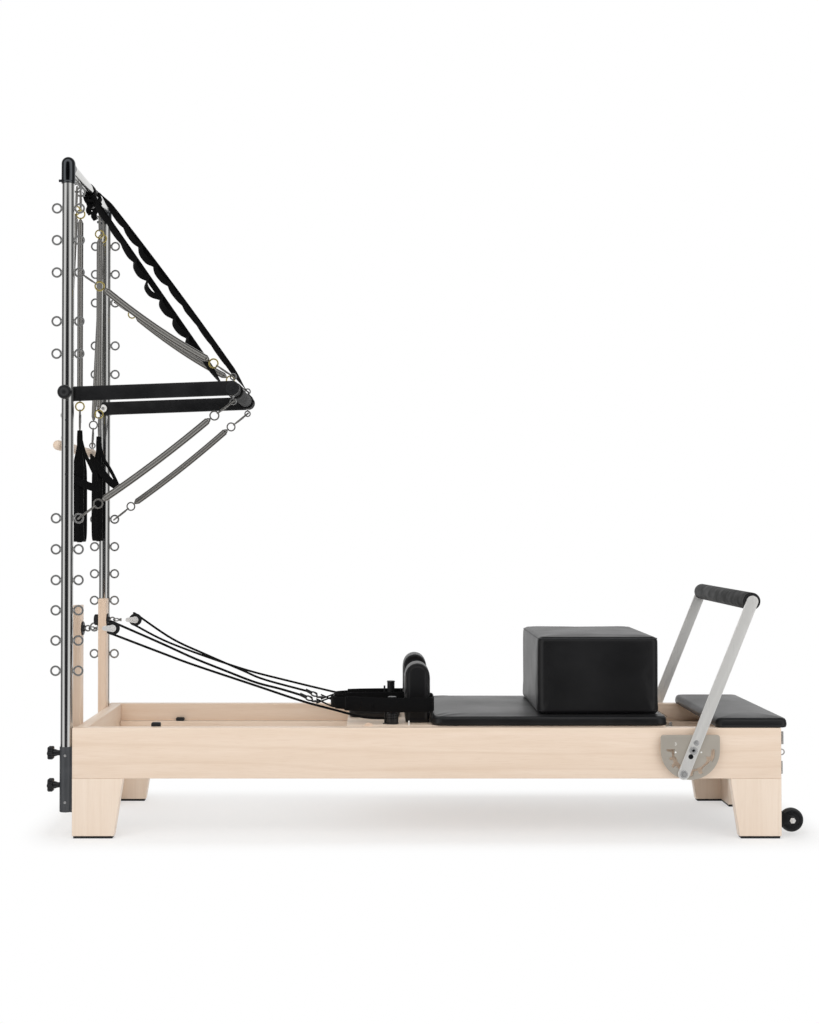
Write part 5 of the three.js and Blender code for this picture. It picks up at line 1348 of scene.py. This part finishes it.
def build_straps():
    """Daisy chains: a band with a second one sewn to it at even places, slack between them, turned part way."""
    for side, top_y, low_y, top_off, low_off, bow, loop_depth, middle, reach in STRAPS:
        top, low = at(POST_X, top_y, BAR_Z), PUSH_END + mm(0, low_y, 0)
        along = (low - top).normalized()
        above = Vector((-along.z, 0, along.x)).normalized()
        start, end = top + above * top_off * MM, low + above * low_off * MM
        length = (end - start).length / MM
        along = (end - start).normalized()
        above = (above - along * above.dot(along)).normalized()
        across = along.cross(above)

        def flank(place):
            """The band's width lies between the camera's plane and the bar, and flat along the bar at both ends."""
            share = max(0, min(1, (place - length + 130) / 100), 1 - place / 70)
            turn = STRAP_TURN + (math.pi / 2 - STRAP_TURN) * eased_share(share)
            return above * math.cos(turn) + across * math.sin(turn)

        def run(place):
            share = place / length
            return start + along * place * MM + above * 4 * bow * share * (1 - share) * MM

        places = [length * k / 60 for k in range(61)]
        band = [ribbon([run(p) for p in places], [flank(p) for p in places], 27, 2.6)]
        loops = int((length - 150) / STRAP_PITCH)
        places = [60 + STRAP_PITCH * k / LOOP_STEPS for k in range(loops * LOOP_STEPS + 1)]
        centres = []
        for k, place in enumerate(places):
            share = (k % LOOP_STEPS) / LOOP_STEPS
            fullness = 0.16 + 0.84 * max(0, 1 - ((place / length - middle) / reach) ** 2)
            depth = loop_depth * fullness * (1 + 0.3 * math.sin(1.9 * (k // LOOP_STEPS) + top_y))
            slack = math.sin(math.pi * (share + 0.08 * math.sin(2 * math.pi * share))) ** 1.3 * depth
            out = flank(place).cross(along)
            out = out if out.dot(above) < 0 else -out
            centres.append(run(place) + out * (2.8 + slack) * MM - above * slack * 0.5 * MM)
        band.append(ribbon(centres, [flank(p) for p in places], 25, 2.2))
        band.append(wound(low, 24.6, 4, 5, 27))
        piece(f"{side}_daisy_chain", ("base", "push_bar", top, low), "web", band,
              [f"{side}_safety_strap"], 0)
        build_strap_wrap(side, top)


def wound(centre, radius, turns, lead, width, steps=30):
    """Turns of a band round the Y axis through a place, each a little further along."""
    centres = [centre + mm(0, lead * (k / steps - turns / 2), 0)
               + around(X, Z, 2 * math.pi * k / steps, radius + 0.5 * k / steps) for k in range(turns * steps + 1)]
    return ribbon(centres, [Y] * len(centres), width, 2.2)


def build_strap_wrap(side, top):
    """The spare turns of webbing round the crossbar, and the knot and short tail that hang below it."""
    wrap = [wound(top - mm(0, 2, 0), TUBE + 1.6, 2, 16, 24)]
    for places, flank, width, thickness in (
            (((-12, -6, -20), (-6, -12, -36), (4, -8, -52), (-2, -2, -70), (6, 0, -84)), (0.8, 0.6, 0.1), 22, 2.2),
            (((16, 2, -18), (22, -8, -30), (8, -18, -38), (-8, -10, -32), (0, 4, -28), (16, 6, -40), (24, -4, -56)),
             (0.5, 0.6, 0.6), 15, 2.4)):
        path = smooth_path([top + mm(*place) for place in places])
        wrap.append(ribbon(path, [Vector(flank)] * len(path), width, thickness))
    piece(f"{side}_strap_wrap", "base", "web", wrap, sharp=0)


LOOP_TOP, LOOP_LOW = 1372, 983
LOOP_BANDS = {  # the tip of the side strap and the far end of its wide band, from the loop's own line: x, z
    "near": ((75, 1167), (-20, 1208)), "far": ((78, 1179), (-23, 1292))}


def build_foot_loops():
    """Two padded cotton loops: bands that part below a narrow tab, and a buckled strap out to one side."""
    half, low = 27, LOOP_LOW + 27
    for side, y in (("near", BAR_EYES[1]), ("far", BAR_EYES[3])):
        body = f"{side}_hanging_loop"
        outline = [(0, LOOP_TOP - 24), (-8, LOOP_TOP - 60), (-20, LOOP_TOP - 120), (-half, LOOP_TOP - 190),
                   (-half - 1, low + 110), (-half, low + 14), (-17, low - 16), (0, low - 22)]
        outline += [(-a, b) for a, b in outline[-2:0:-1]]
        path = smooth_path([at(POST_X, y + a, b) for a, b in outline], closed=True)
        top, open_at = at(0, 0, LOOP_TOP - 24).z, at(0, 0, LOOP_TOP - 150).z
        path.append(path[0])
        widths = [13 + 27 * eased_share(max(0, min(1, (top - point.z) / (top - open_at)))) for point in path]
        pad = piece(f"{side}_loop_pad", body, "web", [ribbon(path, [X] * len(path), widths, 8)],
                    [f"{side}_foot_loop"], 0)
        outer = smooth_path([at(POST_X, y + a * 1.2, b - 5 * (b < low)) for a, b in outline], closed=True)
        tab = smooth_path([at(POST_X + a, y + b, LOOP_TOP - c) for a, b, c in (
            (0, 4, 62), (1, 3.6, 34), (0, 4, 8), (0, 0, 0), (0, -4, 8), (-1, -3.6, 34), (0, -4, 62))])
        webs = [sweep(outer, strip(13, 2), X, closed=True), sweep(tab, strip(17, 2.2), X)]
        (tip_x, tip_z), (end_x, end_z) = LOOP_BANDS[side]
        front, rise = -half - 7, end_z - tip_z
        for places, flank, width, thickness in (
                (((2, -6, LOOP_TOP - 22), (20, -14, LOOP_TOP - 80),
                  (tip_x * 0.62, front + 8, (LOOP_TOP + tip_z) / 2 - 28), (tip_x - 4, front + 4, tip_z + 18),
                  (tip_x, front, tip_z + 2)), (0.75, 0.5, 0.4), 13, 2.2),
                (((tip_x, front, tip_z + 4), (tip_x * 0.66, front - 2, tip_z - 2 + rise * 0.22),
                  (tip_x * 0.25, front - 4, tip_z - 3 + rise * 0.55), (end_x + 4, front - 3, end_z - 4),
                  (end_x - 1, front + 8, end_z), (end_x, -8, end_z + 2)), (0, 0, 1), 27, 2.4)):
            path = smooth_path([at(POST_X + a, y + b, c) for a, b, c in places])
            webs.append(ribbon(path, [Vector(flank)] * len(path), width, thickness))
        piece(f"{side}_loop_webbing", body, "web", webs, sharp=0)


# Ropes: each runs from its post on the carriage, round its wheel at the head end, and back to a padded loop
ROPE_RADIUS = 4
RING_X, RING_Y = 802, 190
RING_Z = {"near": 437, "far": 406}
CLIP_X, CLIP_Y, CLIP_Z = 762, 193, {"near": 456, "far": 426}
WRAP = 19.3  # the rope's distance from its wheel's axle
ROUTE_OUT = {
    "near": ((685, 200, 480), (597, 205, 504), (492, 210, 545), (386, 215, 588), (282, 220, 636)),
    "far": ((596, 200, 470), (515, 205, 503), (376, 214, 562), (250, 220, 620))}
ROUTE_BACK = {
    "near": ((282, 226, 605), (388, 229, 566), (600, 234, 496), (758, 238, 444), (863, 241, 416), (969, 245, 390)),
    "far": ((244, 228, 602), (490, 236, 513), (674, 240, 463), (940, 246, 400))}


def build_ropes():
    """Each rope with its turns round the post, and the clip and ring between it and its loop."""
    for side, sign in SIDES:
        out, back = [[at(x, sign * y, z) for x, y, z in route[side]] for route in (ROUTE_OUT, ROUTE_BACK)]
        wheel = at(SHEAVE_X, sign * RISER_Y, PULLEY_Z)
        turn = [wheel + around(X, Z, math.pi / 2 - 0.25 + math.pi * k / 12, WRAP) for k in range(13)]
        post = at(ROPE_POST[0], sign * ROPE_POST[1], 386)
        end = at(CLIP_X, sign * CLIP_Y, CLIP_Z[side])
        path = smooth_path([end, *out, *turn, *back, post - mm(13.3, 0, 0)])
        cord = piece(f"{side}_rope_cord", ("base", "carriage", at(170, 0, 600), at(760, 0, 460)), "cord",
                     [sweep(path, circle(ROPE_RADIUS))], [f"{side}_rope"], 0)
        hitch = [post + around(X, Y, math.pi + 4 * math.pi * k / 48, 17) + mm(0, 0, 17 * k / 48) for k in range(49)]
        coil = piece(f"{side}_rope_hitch", "carriage", "cord", [sweep(hitch, circle(3.9))], sharp=0)
        # The swivel clip and the D ring that join the rope to the loop
        ring_place = at(RING_X, sign * RING_Y, RING_Z[side])
        along = (ring_place - end).normalized()
        flank = (Y - along * along.y).normalized()
        clip = [rod(end - along * 14 * MM, end + along * 4 * MM, 6, 1.4, 20),
                lathe([(2, 3), (6.4, 4), (6.4, 9), (4.4, 10), (4.4, 13), (0, 13.6)], end, along, 20)]
        clip += snap_hook(end + along * 14 * MM, along, 24, along.cross(flank).normalized())
        dee = [ring_place + mm(a, b, 0) for a, b in (
            (12, -11), (12, -5.5), (12, 0), (12, 5.5), (12, 11), (8, 13), (-2, 11), (-9, 6.6),
            (-11, 0), (-9, -6.6), (-2, -11), (8, -13))]
        clip.append(sweep(smooth_path(dee, 4, closed=True), circle(2.4, 10), closed=True))
        clip_piece = piece(f"{side}_rope_clip", "carriage", "plastic", clip, sharp=0)
        build_rest_loop(side, sign)


def build_rest_loop(side, sign):
    """A wide padded band round the shoulder rest and the post, on narrow webbing that is sewn to both its ends."""
    z = RING_Z[side] - 2
    outer, inner, corner, back = 283, 108, 40, 1205 - 40
    sweeps = [(math.pi / 2 - 0.3) * (4 - k) / 4 for k in range(5)]
    wide = [(905, 243, 2), (960, 266, 1), (1040, outer, 0), (1100, outer + 1, 0), (back, outer, 0)]
    wide += [(back + corner * math.cos(a), outer - corner + corner * math.sin(a), 0) for a in sweeps]
    wide += [(1205, 190, 0)]
    wide += [(back + corner * math.cos(a), inner + corner - corner * math.sin(a), 0) for a in reversed(sweeps)]
    wide += [(back, inner, 0), (1100, inner - 1, 0), (1040, inner + 1, 0), (960, 122, 1), (905, 146, 2)]
    path = smooth_path([at(x, sign * y, z + dz) for x, y, dz in wide], 5)
    pad = piece(f"{side}_rest_loop_pad", "carriage", "web", [sweep(path, strip(49, 7, 3), Z)], sharp=0)
    narrow = [(960, 269), (905, 247), (872, 226), (860, 206), (857, 192), (860, 178), (872, 164), (905, 142),
              (960, 118)]
    parts = [sweep(smooth_path([at(x, sign * y, z + 3) for x, y in narrow]), strip(36, 2.6), Z)]
    ring_place = at(RING_X, sign * RING_Y, RING_Z[side])
    for high, low_end in ((9, -13), (-7, 15)):
        lace = [ring_place + mm(4, sign * high * 0.6, high), at(858, sign * (192 + high), z + low_end),
                at(872, sign * (192 + high * 2.4), z + low_end)]
        parts.append(sweep(smooth_path(lace, 6), circle(2.7, 8)))
    inside = [(1000, 281), (960, 263), (905, 240), (872, 218)]
    parts.append(sweep(smooth_path([at(x, sign * y, z - 6) for x, y in inside], 6), strip(26, 2.4), Z))
    piece(f"{side}_rest_loop_webbing", "carriage", "web", parts, sharp=0)
    stitches = []
    for x in (908, 914):
        for k in range(9):
            low = at(x, sign * (248.4 + (x - 905) * 0.39), z - 15 + k * 4.4)
            stitches.append(rod(low, low + mm(0, 0, 2.6), 0.5, 0.2, 6))
    piece(f"{side}_rest_loop_stitches", "carriage", "seam", stitches, sharp=0)


# The scene
LOOKS = build_looks()
for build in (
        build_camera, build_studio, build_frame, build_tower, build_risers, build_push_bar, build_springs,
        build_roll_bar, build_gear_plates, build_footbar, build_platform, build_transport_wheels, build_tracks,
        build_carriage, build_cushions, build_straps, build_foot_loops, build_ropes):
    build()
bpy.context.scene.view_settings.view_transform = "Standard"
